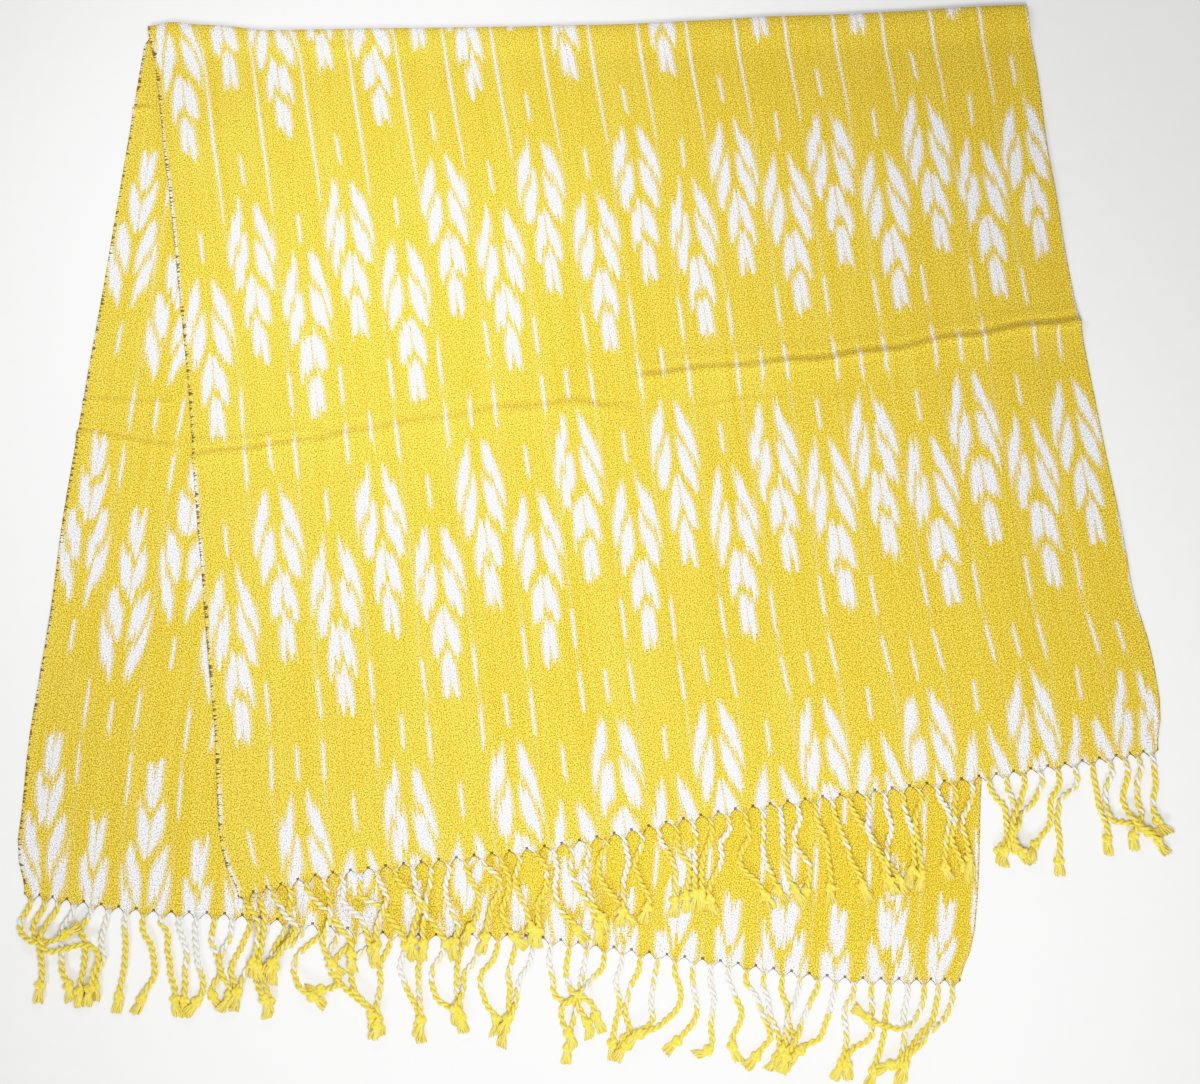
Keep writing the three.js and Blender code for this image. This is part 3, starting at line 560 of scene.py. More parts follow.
pattern += [
    # How far inside a white place it is: a figure, a dash on a column, or a line between columns.
    ("figure_by", "MAXIMUM", "leaves_by", "tails_by"),
    ("in_figure", "GREATER_THAN", "below_tip", 0.0),
    ("figure_gate", "MULTIPLY_ADD", "in_figure", 2 * FAR, -FAR),
    ("figure_gated", "MINIMUM", "figure_by", "figure_gate"),
    ("dash_down", "ADD", "below_tip", DASH_ABOVE),
    ("dash_off", "ABSOLUTE", "dash_down"),
    ("dash_long_by", "SUBTRACT", DASH_HALF, "dash_off"),
    ("dash_wide_raw", "SUBTRACT", THIN_HALF, "off"),
    ("dash_wide_by", "MULTIPLY", "dash_wide_raw", THIN_CRISP),
    ("dash_by", "MINIMUM", "dash_long_by", "dash_wide_by"),
    ("on_column_by", "MAXIMUM", "figure_gated", "dash_by"),
    ("column_gate", "MULTIPLY_ADD", "has_figures", 2 * FAR, -FAR),
    ("column_gated", "MINIMUM", "on_column_by", "column_gate"),
    ("first_line_at", "SUBTRACT", "below_between", LINE_PLACES[0]),
    ("first_line_off", "ABSOLUTE", "first_line_at"),
    ("second_line_at", "SUBTRACT", "below_between", LINE_PLACES[1]),
    ("second_line_off", "ABSOLUTE", "second_line_at"),
    ("line_off", "MINIMUM", "first_line_off", "second_line_off"),
    ("line_long_by", "SUBTRACT", LINE_HALF, "line_off"),
    ("line_wide_raw", "SUBTRACT", THIN_HALF, "off_midway"),
    ("line_wide_by", "MULTIPLY", "line_wide_raw", THIN_CRISP),
    ("line_by", "MINIMUM", "line_long_by", "line_wide_by"),
    ("fold_line_at", "ADD", "below_between_woven", FOLD_LINE_ABOVE),
    ("fold_line_off", "ABSOLUTE", "fold_line_at"),
    ("fold_line_half", "MULTIPLY_ADD", "fold_line_off", -FOLD_LINE_TAPER, FOLD_LINE_WIDE),
    ("fold_line_raw", "SUBTRACT", "fold_line_half", "off_midway"),
    ("fold_line_by", "MULTIPLY", "fold_line_raw", FOLD_LINE_CRISP),
    ("on_fold_row", "LESS_THAN", "fold_line_off", FOLD_LINE_HALF),
    ("off_fold_row", "SUBTRACT", 1.0, "on_fold_row"),
    ("fold_lines", "MULTIPLY", "fold_line_by", "on_fold_row"),
    ("other_lines", "MULTIPLY", "line_by", "off_fold_row"),
    ("lines_by", "ADD", "fold_lines", "other_lines"),
    ("white_even", "MAXIMUM", "column_gated", "lines_by"),
    ("white_by", "MULTIPLY_ADD", "under_right", UNDER_WIDER / CLOTH_WIDTH, "white_even"),
    ("white_solid", "SMOOTHSTEP", "white_by", WHITE_STARTS, WHITE_FULL, 1.0),
    ("bleed", "SMOOTHSTEP", "white_by", BLEED_STARTS, BLEED_FULL, BLEED_MOST),
    # Noise in cells: how long each cell is in millimetres, across and along the cloth. Streaks and
    # flecks follow the warp, slubs the weft, and the grain is that of single threads.
    ("streak", "NOISE", 3.2, 240.0),
    ("broad", "NOISE", 26.0, 130.0),
    ("slub", "NOISE", 14.0, 1.5),
    ("grain", "NOISE", 1.0, 1.15),
    ("fleck", "NOISE", 0.9, 16.0),
    ("faded", "NOISE", 9.0, 55.0),
    # How white the cloth is: the figures, the dye's bleed round them, and faded warps midway.
    ("midway", "SMOOTHSTEP", "off_midway", MIDWAY_STARTS, MIDWAY_FULL, 1.0),
    ("faded_more", "MULTIPLY_ADD", "faded", 1.1, -0.3),
    ("faded_midway", "MULTIPLY", "faded_more", "midway"),
    ("fade", "MULTIPLY", "faded_midway", FADE_MOST),
    ("paled", "MAXIMUM", "bleed", "fade"),
    ("white", "MAXIMUM", "white_solid", "paled"),
    # How deep the yellow is.
    ("deep_streaks", "MULTIPLY_ADD", "streak", STREAK_DEPTH, DEPTH_FROM),
    ("deep_broad", "MULTIPLY_ADD", "broad", BROAD_DEPTH, "deep_streaks"),
    ("deep_grain", "MULTIPLY_ADD", "grain", GRAIN_DEPTH, "deep_broad"),
    ("deep_slubs", "MULTIPLY_ADD", "slub", SLUB_DEPTH, "deep_grain"),
    ("deep_right", "MULTIPLY_ADD", "from_left", RIGHT_DEPTH / CLOTH_WIDTH, "deep_slubs"),
    ("deep", "MULTIPLY_ADD", "under_share", UNDER_DEPTH, "deep_right"),
    # How bright any thread is, with the painted shadow along the right selvedge.
    ("tone_grain", "MULTIPLY_ADD", "grain", GRAIN_TONE, TONE_FROM),
    ("on_speck", "GREATER_THAN", "grain", SPECK_STARTS),
    ("tone_specks", "MULTIPLY_ADD", "on_speck", SPECK_TONE, "tone_grain"),
    ("on_fleck", "GREATER_THAN", "fleck", FLECK_STARTS),
    ("tone_flecks", "MULTIPLY_ADD", "on_fleck", FLECK_TONE, "tone_specks"),
    # The right selvedge's painted shadow: an uneven dark line.
    ("from_right", "SUBTRACT", CLOTH_WIDTH, "from_left"),
    ("right_reach", "MULTIPLY_ADD", "slub", 3.0, -0.8),
    ("on_right", "LESS_THAN", "from_right", "right_reach"),
    ("tone", "MULTIPLY_ADD", "on_right", RIGHT_SHADOW_TONE, "tone_flecks"),
    # Where painted shade, with some dirt, darkens spots along the left selvedge and at the arch tops.
    ("dot_reach", "MULTIPLY_ADD", "slub", 13.0, -6.0),
    ("on_dot", "LESS_THAN", "from_left", "dot_reach"),
    ("from_over_hem", "SUBTRACT", cloth_length, "cloth_along"),
    ("from_hem", "MINIMUM", "cloth_along", "from_over_hem"),
    ("off_arch", "PINGPONG", "from_left", ROOT_PITCH / 2),
    ("arch_by", "SUBTRACT", ARCH_SPOT_HALF, "off_arch"),
    ("hem_by", "SUBTRACT", ARCH_SPOT_REACH, "from_hem"),
    ("arch_spot_by", "MINIMUM", "arch_by", "hem_by"),
    ("on_arch_spot", "GREATER_THAN", "arch_spot_by", 0.0),
    ("on_spot", "MAXIMUM", "on_arch_spot", "on_dot"),
    ("spotted", "MULTIPLY", "on_spot", SPOT_SHARE),
]

# Handwoven cotton: matt, with a faint bloom of loose fibres. Real threads are about 0.6 mm apart,
# too fine to show, so the weave is drawn at 1.5 mm, and its grain and its slubs along the weft are
# drawn at 1 to 1.5 mm too. Slow streaks run along the warp.
WEAVE_PITCH = 1.5
pattern += [
    ("warp_turn", "MULTIPLY", "across", 2 * math.pi / WEAVE_PITCH),
    ("weft_turn", "MULTIPLY", "cloth_along", 2 * math.pi / WEAVE_PITCH),
    ("warp_wave", "SINE", "warp_turn"),
    ("weft_wave", "SINE", "weft_turn"),
    ("weave", "MULTIPLY", "warp_wave", "weft_wave"),
    ("weave_low", "MULTIPLY_ADD", "weave", 0.25, 0.5),
    ("weave_grain", "MULTIPLY_ADD", "grain", 1.4, "weave_low"),
    ("weave_height", "MULTIPLY_ADD", "slub", 0.4, "weave_grain"),
]
cotton, tree = new_material("handwoven_ikat_cotton")
place = add_node(tree, "ShaderNodeAttribute", {"attribute_name": "cloth_mm"}).outputs["Vector"]
split = add_node(tree, "ShaderNodeSeparateXYZ", inputs={0: place})
found = dict(zip(("across", "cloth_along", "from_left"), split.outputs))
for name, how, *using in pattern:
    using = [found[part] if isinstance(part, str) else part for part in using]
    if how == "CURVE":
        node = add_node(tree, "ShaderNodeFloatCurve", inputs={"Value": using[0]})
        curve = node.mapping.curves[0]
        while len(curve.points) < len(using[1]):
            curve.points.new(0.5, 0.5)
        for point, spot in zip(curve.points, using[1]):
            point.location = spot
            point.handle_type = "VECTOR"
        node.mapping.update()
    elif how == "CHANCE":
        seed = add_node(tree, "ShaderNodeCombineXYZ", inputs={0: using[0], 1: using[1]}).outputs[0]
        node = add_node(tree, "ShaderNodeTexWhiteNoise", {"noise_dimensions": "2D"}, {"Vector": seed})
    elif how == "NOISE":
        cells = add_node(
            tree, "ShaderNodeMapping", inputs={"Vector": place, "Scale": (1 / using[0], 1 / using[1], 1.0)}
        )
        node = add_node(
            tree, "ShaderNodeTexNoise", {"noise_dimensions": "2D"}, {"Vector": cells.outputs[0], "Scale": 1.0}
        )
    elif how == "SMOOTHSTEP":
        sockets = dict(zip(("Value", "From Min", "From Max", "To Max"), using))
        node = add_node(tree, "ShaderNodeMapRange", {"interpolation_type": how}, sockets)
    else:
        node = add_node(tree, "ShaderNodeMath", {"operation": how}, dict(enumerate(using)))
    found[name] = node.outputs[0]
yellow = add_node(
    tree,
    "ShaderNodeMix",
    {"data_type": "RGBA"},
    {0: found["deep"], MIX_FROM: linear(PALE_YELLOW), MIX_TO: linear(DEEP_YELLOW)},
)
dyed = add_node(
    tree,
    "ShaderNodeMix",
    {"data_type": "RGBA"},
    {0: found["white"], MIX_FROM: yellow.outputs[MIX_OUT], MIX_TO: linear(UNDYED_COTTON)},
)
toned = add_node(
    tree, "ShaderNodeVectorMath", {"operation": "SCALE"}, {0: dyed.outputs[MIX_OUT], "Scale": found["tone"]}
)
# Painted shade with some dirt at the spots.
marked = add_node(
    tree,
    "ShaderNodeMix",
    {"data_type": "RGBA"},
    {0: found["spotted"], MIX_FROM: toned.outputs[0], MIX_TO: linear(SHADE_AND_DIRT_BROWN)},
)
weave_bump = add_node(
    tree, "ShaderNodeBump", inputs={"Height": found["weave_height"], "Strength": 0.6, "Distance": 0.35 * MM}
)
shader = add_node(
    tree,
    "ShaderNodeBsdfPrincipled",
    inputs={
        "Base Color": marked.outputs[MIX_OUT],
        "Normal": weave_bump.outputs[0],
        "Roughness": 0.9,
        "Specular IOR Level": 0.2,
        "Sheen Weight": 0.06,
        "Sheen Roughness": 0.5,
    },
)
add_node(tree, "ShaderNodeOutputMaterial", inputs={"Surface": shader.outputs[0]})
cloth.data.materials.append(cotton)
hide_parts("under_layer", "over_layer")
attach(cloth, "root")


# ==== The fringes ====
# The cloth's own warp ends. Past each hem they are gathered in 54 groups, each twisted as a
# two-ply cord of yellow and undyed yarn, tied in a thumb knot and brushed out below it.
# The cords lie as they fell: drifted together, bent, looped and crossing each other.

FRINGE_LIFT = 0.4
LAYER_TOP = 1.0  # of the under layer, where the over fringe lies on it
RIDE_HEIGHT = 4.3  # underside of the over fringe, where it lies on the under one
CLIMB_LENGTH, CLIMB_BEFORE = 22.0, 3.0  # how it rises to that: over this length, done this far before
ROOT_STEPS = (2.0, 6.0)  # a cord's first two places, straight out from its tab
ROOT_RISE, ROOT_REACH = 1.6, 10.0  # how high a cord's middle starts, and over what length it settles
CORD_MIDDLE = 2.5  # height of a cord's middle over what it lies on
PLY_RADIUS = 1.38
PLY_OFFSET = 1.18  # each ply's middle from the cord's middle
PLY_SIDES = 6
TWIST_PITCH = 11.5
CORD_STEPS = 72
KNOT_SIZE, KNOT_RADIUS, KNOT_STEPS = 1.05, 1.7, 36
KNOT_ABOVE = 4.0  # the knot's middle above the brushed end
TUFT_LENGTH = 9.5
TUFT_BUNDLES, TUFT_SIDES = 18, 5
TUFT_HALVES = [0.7, 0.75, 0.7, 0.6, 0.35]  # half a bundle's width, from the knot to its cut end
YARN_SHIFT = 3.7  # how far each cord's yarn noise is from the next one's
PILE_CELL = 1.0  # the pile is a height map of what has been laid so far
PILE_LEFT, PILE_NEAR = -80.0, -920.0
PILE_SHAPE = (1100, 1000)
CROSSING_RISE = 3.6  # how much higher a cord lies where it crosses another
MOST_RISE = 5.4
HEM_AT = 738.0
# Each cord's course from its root to its end, as places across and below the hem.
UNDER_CORDS = [
    [(14, 14), (13, 22), (16, 30), (24, 34), (34, 35), (45, 33), (54, 25), (61, 18)],
    [(26, 12), (24, 20), (27, 30), (33, 40), (36, 50), (38, 62), (38, 82)],
    [(36, 12), (33, 22), (35, 32), (41, 41), (52, 39), (64, 34), (76, 35), (82, 44), (79, 56), (77, 80)],
    [(52, 12), (48, 22), (49, 34), (51, 44), (54, 56), (60, 66), (64, 78)],
    [(66, 12), (63, 22), (67, 32), (70, 44), (69, 58), (70, 70), (70, 82)],
    [(81, 12), (80, 24), (82, 34), (84, 44), (81, 54), (80, 64), (83, 76)],
    [(96, 12), (98, 24), (101, 34), (101, 50), (101, 66), (100, 83)],
    [(113, 12), (115, 22), (121, 32), (125, 42), (125, 54), (121, 64), (117, 74), (113, 82)],
    [(132, 12), (135, 22), (134, 34), (138, 46), (142, 58), (146, 70), (149, 81)],
    [(144, 12), (147, 24), (149, 36), (150, 48), (151, 60), (153, 70), (155, 81)],
    [(155, 12), (155, 24), (158, 36), (163, 48), (165, 60), (161, 70), (155, 78)],
    [(169, 12), (168, 24), (174, 34), (178, 44), (173, 53), (174, 62), (183, 71)],
    [(187, 12), (183, 20), (177, 28), (176, 38), (181, 46), (186, 56), (185, 66), (181, 73)],
    [(196, 12), (192, 22), (187, 32), (186, 42), (190, 52), (192, 62), (192, 73)],
    [(205, 12), (202, 24), (199, 36), (196, 46), (193, 56), (189, 70)],
    [(220, 12), (216, 24), (214, 36), (212, 46), (216, 56), (219, 66), (218, 76)],
    [(232, 10), (226, 18), (220, 26), (213, 35), (205, 42), (208, 50), (215, 60), (221, 72)],
    [(250, 10), (242, 17), (236, 26), (234, 37), (239, 46), (246, 51), (254, 56), (263, 62)],
    [(260, 12), (258, 24), (262, 34), (270, 41), (278, 48), (290, 55), (300, 61), (307, 72), (308, 80)],
    [(268, 12), (264, 22), (266, 32), (271, 41), (264, 48), (254, 50), (244, 49)],
    [(284, 12), (279, 24), (279, 36), (284, 46), (291, 53), (299, 62), (304, 76)],
    [(300, 12), (301, 26), (303, 40), (303, 54), (305, 66), (303, 82)],
    [(313, 12), (316, 26), (321, 36), (328, 47), (334, 57), (337, 68), (340, 82)],
    [(331, 12), (331, 26), (333, 38), (336, 50), (338, 62), (337, 77)],
    [(346, 12), (343, 24), (343, 36), (348, 46), (357, 51), (365, 56), (372, 67)],
    [(362, 12), (361, 24), (363, 36), (365, 46), (369, 56), (373, 70)],
    [(372, 12), (368, 24), (368, 36), (366, 46), (364, 56), (367, 66)],
    [(383, 12), (380, 24), (382, 36), (387, 46), (394, 54), (397, 62), (396, 71)],
    [(399, 12), (400, 24), (405, 34), (405, 46), (405, 56), (404, 66), (402, 79)],
    [(414, 12), (411, 24), (411, 36), (409, 46), (406, 56), (400, 68)],
    [(434, 12), (437, 24), (440, 34), (447, 39), (456, 40), (463, 46), (468, 56), (470, 66)],
    [(442, 10), (445, 20), (452, 29), (462, 33), (470, 40), (475, 50), (480, 60)],
    [(457, 12), (458, 24), (459, 36), (457, 48), (455, 60), (454, 72), (454, 86)],
    [(468, 12), (463, 24), (456, 34), (447, 42), (447, 52), (454, 62), (459, 74)],
    [(481, 10), (484, 22), (490, 32), (491, 42), (489, 52), (488, 66), (490, 80)],
    [(497, 12), (497, 24), (496, 36), (497, 46), (500, 54), (497, 64), (493, 76)],
    [(513, 12), (514, 24), (516, 36), (517, 46), (512, 53), (503, 58), (497, 68), (492, 79)],
    [(534, 10), (538, 20), (538, 30), (533, 40), (525, 48), (515, 53), (506, 58), (499, 66)],
    [(545, 12), (549, 24), (551, 36), (549, 46), (543, 54), (536, 61), (529, 70)],
    [(560, 12), (564, 24), (563, 36), (564, 48), (565, 58), (560, 66), (551, 69)],
    [(573, 10), (580, 22), (586, 32), (585, 42), (581, 52), (582, 62), (588, 71)],
    [(588, 10), (596, 20), (601, 30), (606, 40), (610, 50), (605, 58), (598, 67), (591, 74)],
    [(601, 12), (606, 24), (610, 36), (615, 46), (618, 55), (615, 66), (610, 75)],
    [(615, 12), (620, 24), (623, 36), (627, 46), (629, 55), (626, 64), (622, 73)],
    [(625, 12), (624, 24), (622, 36), (621, 48), (620, 60), (617, 71)],
    [(637, 12), (636, 24), (634, 36), (630, 46), (625, 54), (622, 64), (619, 75)],
    [(651, 12), (653, 24), (652, 36), (648, 46), (640, 52), (632, 57), (624, 66)],
    [(665, 12), (665, 24), (667, 36), (669, 48), (668, 58), (664, 68), (661, 77)],
    [(682, 12), (686, 22), (687, 32), (688, 40), (683, 47), (675, 50), (670, 58), (672, 76)],
    [(694, 12), (696, 24), (698, 36), (696, 48), (693, 58), (691, 70), (687, 80)],
    [(708, 12), (711, 24), (713, 36), (713, 48), (711, 60), (711, 76)],
    [(721, 12), (722, 20), (717, 28), (708, 33), (697, 32), (688, 29), (678, 25), (669, 21)],
    [(735, 12), (733, 26), (725, 37), (718, 46), (711, 56), (702, 61), (692, 66)],
    [(747, 12), (743, 22), (735, 30), (728, 39), (719, 48), (714, 58), (712, 72)],
]
OVER_CORDS = [
    [(16, 14), (21, 26), (22, 38), (19, 50), (16, 60), (14, 72)],
    [(25, 12), (27, 24), (26, 37), (22, 50), (19, 62), (20, 75)],
    [(41, 12), (44, 24), (51, 34), (50, 42), (40, 52), (31, 62), (25, 73)],
    [(54, 12), (48, 24), (50, 34), (44, 46), (35, 56), (30, 68), (29, 79)],
    [(71, 12), (74, 24), (80, 34), (87, 44), (92, 54), (92, 66), (93, 78)],
    [(84, 12), (81, 26), (77, 38), (72, 48), (72, 60), (77, 70), (85, 79)],
    [(92, 12), (90, 22), (97, 32), (104, 42), (107, 54), (108, 66), (110, 77)],
    [(104, 12), (103, 20), (110, 26), (118, 32), (126, 42), (131, 52), (136, 64), (141, 76)],
    [(123, 12), (125, 24), (119, 36), (114, 48), (112, 60), (111, 73)],
    [(140, 12), (145, 24), (148, 36), (144, 48), (140, 60), (142, 74)],
    [(150, 12), (149, 24), (152, 36), (157, 48), (163, 58), (168, 68), (172, 79)],
    [(163, 12), (158, 22), (155, 32), (153, 42), (150, 54), (148, 66), (147, 77)],
    [(174, 12), (171, 22), (170, 32), (174, 42), (177, 54), (173, 66), (172, 79)],
    [(190, 12), (193, 24), (196, 36), (193, 48), (186, 58), (180, 69)],
    [(212, 12), (216, 22), (213, 32), (205, 42), (201, 54), (197, 66), (192, 78)],
    [(219, 12), (222, 24), (218, 36), (213, 48), (215, 60), (222, 70), (229, 79)],
    [(230, 12), (226, 24), (228, 36), (232, 50), (234, 62), (234, 76)],
    [(251, 10), (254, 21), (249, 34), (243, 44), (240, 56), (239, 68), (237, 80)],
    [(261, 12), (259, 26), (256, 40), (257, 50), (263, 60), (270, 70), (276, 81)],
    [(272, 12), (270, 24), (274, 36), (279, 48), (284, 58), (286, 70), (284, 83)],
    [(286, 12), (282, 24), (282, 38), (285, 52), (290, 64), (292, 77)],
    [(300, 10), (293, 20), (292, 30), (297, 42), (303, 52), (308, 62), (315, 74)],
    [(318, 12), (318, 22), (313, 32), (310, 44), (308, 56), (305, 66), (302, 73)],
    [(329, 10), (325, 20), (321, 29), (324, 40), (328, 50), (327, 60), (321, 73)],
    [(346, 12), (351, 24), (352, 36), (351, 48), (348, 60), (346, 72)],
    [(355, 12), (358, 22), (363, 32), (362, 44), (358, 56), (356, 70)],
    [(372, 12), (370, 26), (367, 40), (366, 54), (362, 69)],
    [(383, 12), (377, 26), (373, 40), (371, 54), (370, 69)],
    [(395, 10), (389, 19), (391, 29), (387, 38), (380, 48), (376, 60), (379, 75)],
    [(411, 10), (413, 20), (407, 27), (404, 36), (409, 46), (416, 55), (421, 66), (425, 77)],
    [(420, 10), (422, 22), (424, 34), (426, 46), (430, 58), (435, 74)],
    [(435, 10), (438, 22), (440, 36), (440, 48), (443, 60), (448, 76)],
    [(449, 10), (448, 22), (451, 34), (457, 44), (458, 54), (452, 66), (446, 78)],
    [(470, 12), (472, 22), (475, 33), (474, 45), (473, 57), (471, 79)],
    [(485, 12), (487, 22), (490, 34), (491, 44), (495, 56), (498, 68), (501, 81)],
    [(501, 8), (504, 16), (508, 26), (513, 37), (518, 48), (523, 58), (527, 68), (532, 79)],
    [(508, 12), (507, 24), (511, 36), (515, 48), (517, 62), (518, 76)],
    [(523, 12), (526, 22), (526, 32), (521, 42), (518, 52), (519, 66), (522, 80)],
    [(534, 8), (537, 17), (542, 28), (543, 40), (541, 52), (538, 62), (532, 74)],
    [(545, 10), (545, 22), (546, 34), (547, 46), (546, 58), (544, 68), (541, 79)],
    [(566, 8), (572, 17), (574, 27), (571, 38), (567, 48), (565, 60), (567, 75)],
    [(578, 10), (577, 20), (576, 32), (573, 42), (576, 54), (580, 66), (583, 78)],
    [(590, 10), (586, 22), (584, 34), (584, 46), (585, 58), (581, 72)],
    [(606, 8), (611, 16), (618, 24), (619, 36), (616, 48), (609, 57), (611, 70)],
    [(621, 12), (625, 20), (626, 30), (621, 40), (619, 50), (624, 58), (631, 68)],
    [(631, 10), (629, 20), (625, 30), (621, 41), (622, 52), (628, 62), (634, 70)],
    [(643, 10), (641, 20), (636, 28), (629, 35), (622, 43), (616, 52), (609, 60), (607, 68)],
    [(655, 12), (655, 24), (654, 36), (652, 44), (644, 50), (637, 57), (631, 67)],
    [(671, 12), (669, 19), (663, 25), (660, 36), (659, 48), (657, 60), (655, 72), (653, 83)],
    [(690, 12), (693, 24), (695, 36), (697, 48), (696, 60), (695, 73)],
    [(699, 10), (699, 22), (699, 34), (702, 44), (709, 48), (717, 51), (728, 57), (742, 63)],
    [(716, 10), (716, 22), (714, 32), (716, 43), (723, 52), (732, 62), (742, 78)],
    [(727, 10), (726, 22), (725, 34), (727, 44), (722, 51), (716, 58), (716, 72)],
    [(743, 10), (742, 22), (739, 32), (737, 44), (739, 54), (746, 62)],
]
LAID_LAST = (0, 2, 17, 31, 51)  # the cords that fell across the others
# The cords that hold the most undyed yarn, and how much more than the others.
UNDER_PALE = {3: 0.7, 5: 0.5, 9: 0.6, 10: 0.7, 14: 0.6, 22: 0.6, 29: 0.7, 39: 0.6, 44: 0.4, 47: 0.4, 50: 0.5}
OVER_PALE = {6: 0.6, 12: 0.6, 18: 0.7, 22: 0.6, 28: 0.4, 31: 0.7, 32: 0.4, 37: 0.7, 40: 0.4}
CORD_YELLOW = "#F0D644"
CORD_UNDYED = "#F1EFE4"


def fringe_surface(layer, x, y):
    """Height of what a fringe lies on: the surface or, for the over one, what is under it there."""
    if layer is UNDER:
        return FRINGE_LIFT
    low = np.maximum(step_down(x, y) * LAYER_TOP, FRINGE_LIFT)
    across = x * COS - y * SIN
    past_hem = -x * SIN - y * COS - UNDER_LENGTH - read_table(UNDER["hem"], across)
    return low + (RIDE_HEIGHT - low) * eased((past_hem + CLIMB_LENGTH + CLIMB_BEFORE) / CLIMB_LENGTH)


def smooth_line(points, count):
    """Evenly spaced points on a smooth curve through a few places, and how far along each is."""
    points = np.asarray(points, dtype=float)
    padded = np.vstack([2 * points[0] - points[1], points, 2 * points[-1] - points[-2]])
    fine = []
    t = np.linspace(0, 1, 16, endpoint=False)[:, None]
    for i in range(len(points) - 1):
        a, b, c, d = padded[i : i + 4]
        bend = (2 * a - 5 * b + 4 * c - d) * t**2 + (3 * b - a - 3 * c + d) * t**3
        fine.append(0.5 * (2 * b + (c - a) * t + bend))
    fine = np.vstack(fine + [points[-1:]])
    travelled = np.concatenate([[0], np.cumsum(np.linalg.norm(np.diff(fine, axis=0), axis=1))])
    even = np.linspace(0, travelled[-1], count)
    return np.stack([np.interp(even, travelled, fine[:, k]) for k in range(fine.shape[1])], axis=1), even


def frames_along(centres):
    """A forward, a sideways and an upward direction at each point of a line."""
    ahead = np.gradient(centres, axis=0)
    ahead /= np.linalg.norm(ahead, axis=1, keepdims=True)
    side = np.cross(ahead, (0.0, 0.0, 1.0))
    side /= np.linalg.norm(side, axis=1, keepdims=True)
    return ahead, side, np.cross(side, ahead)


def tube(centres, side, up, half, sides, closed=False):
    """Rings of points round a line, and their faces, with the ends capped or the line closed."""
    turns = np.linspace(0, 2 * math.pi, sides, endpoint=False)
    spokes = side[:, None, :] * np.cos(turns)[None, :, None] + up[:, None, :] * np.sin(turns)[None, :, None]
    rings = centres[:, None, :] + spokes * np.reshape(half, (-1, 1, 1))
    at = np.arange(len(centres) * sides).reshape(len(centres), sides)
    near = at if closed else at[:-1]
    far = np.roll(at, -1, axis=0) if closed else at[1:]
    faces = np.stack([near, np.roll(near, -1, axis=1), np.roll(far, -1, axis=1), far], axis=2)
    caps = [] if closed else [at[0][::-1].tolist(), at[-1].tolist()]
    return rings.reshape(-1, 3), faces.reshape(-1, 4).tolist() + caps


def warp_is_undyed(across, cloth_v):
    """1 where the warp at a place along the ikat, or past a hem, is undyed, 0 where it is yellow."""
    across = across - warp_stray(across, cloth_v)
    column = np.clip(np.floor((across - FIRST_COLUMN_EDGE) / COLUMN_PITCH), 0, figure_count - 1)
    off = np.abs(across - FIRST_COLUMN_EDGE - (column + 0.5) * COLUMN_PITCH)
    tip = np.array(FIGURE_TIPS)[column.astype(int)]
    shift = UNDER_SHIFT * (cloth_v < FOLD_AT)
    below_tip = (cloth_v - shift - FOLD_AT - tip + ABOVE_TIP) % ROW_PITCH - ABOVE_TIP
    undyed = 0.0 * off
    for outer, inner in ((LEAVES_OUTER, LEAVES_INNER), (TAILS_OUTER, TAILS_INNER)):
        far, near = [np.interp(below_tip, *np.array(table, dtype=float).T) for table in (outer, inner)]
        undyed = np.maximum(undyed, (off < far) * (off > near) * (below_tip > 0))
    return undyed


def cord_plan(layer, root, places, rng):
    """A cord's course in plan, from its root through its places, and how far along each point is."""
    turn = layer["turn"]
    starts = []
    for out in ROOT_STEPS:
        x, y = lay_point(layer, np.array([root]), np.array([layer["length"] + out]))
        starts.append((float(x[0]), float(y[0])))
    aside = starts[-1][0] * COS + turn * starts[-1][1] * SIN - places[0][0]
    course = []
    for across, below in places:
        across = across + aside * (1 - float(eased((below - 7.0) / 24.0)))
        along = HEM_AT + below
        course.append((across * COS + turn * along * SIN, turn * across * SIN - along * COS))
    flat, travelled = smooth_line(starts + course, CORD_STEPS + 1)
    x, y = flat.T
    wobble = rng.uniform(0.3, 0.7) * np.sin(travelled / rng.uniform(3.5, 5.0) + rng.uniform(0, 6))
    wobble = wobble * eased(travelled / 12.0)
    _, side, _ = frames_along(np.stack([x, y, 0 * x], axis=1))
    return x + side[:, 0] * wobble, y + side[:, 1] * wobble, travelled


def lay_on_pile(pile, x, y, travelled):
    """How far the cords already laid lift this one, which is then laid on them."""

    def cells(dx, dy):
        return ((x + dx - PILE_LEFT) / PILE_CELL).astype(int), ((y + dy - PILE_NEAR) / PILE_CELL).astype(int)

    piled = np.max([pile[cells(dx, dy)] for dx in (-1.6, 0.0, 1.6) for dy in (-1.6, 0.0, 1.6)], axis=0)
    piled = np.max([np.roll(piled, k) for k in range(-3, 4)], axis=0)
    for _ in range(6):
        piled[1:-1] = (piled[:-2] + piled[1:-1] + piled[2:]) / 3
    piled = np.minimum(piled, MOST_RISE) * eased((travelled - 4.0) / 8.0)
    for dx in (-1, 0, 1):
        for dy in (-1, 0, 1):
            np.maximum.at(pile, cells(dx, dy), piled + CROSSING_RISE * (travelled > 9.0))
    return piled


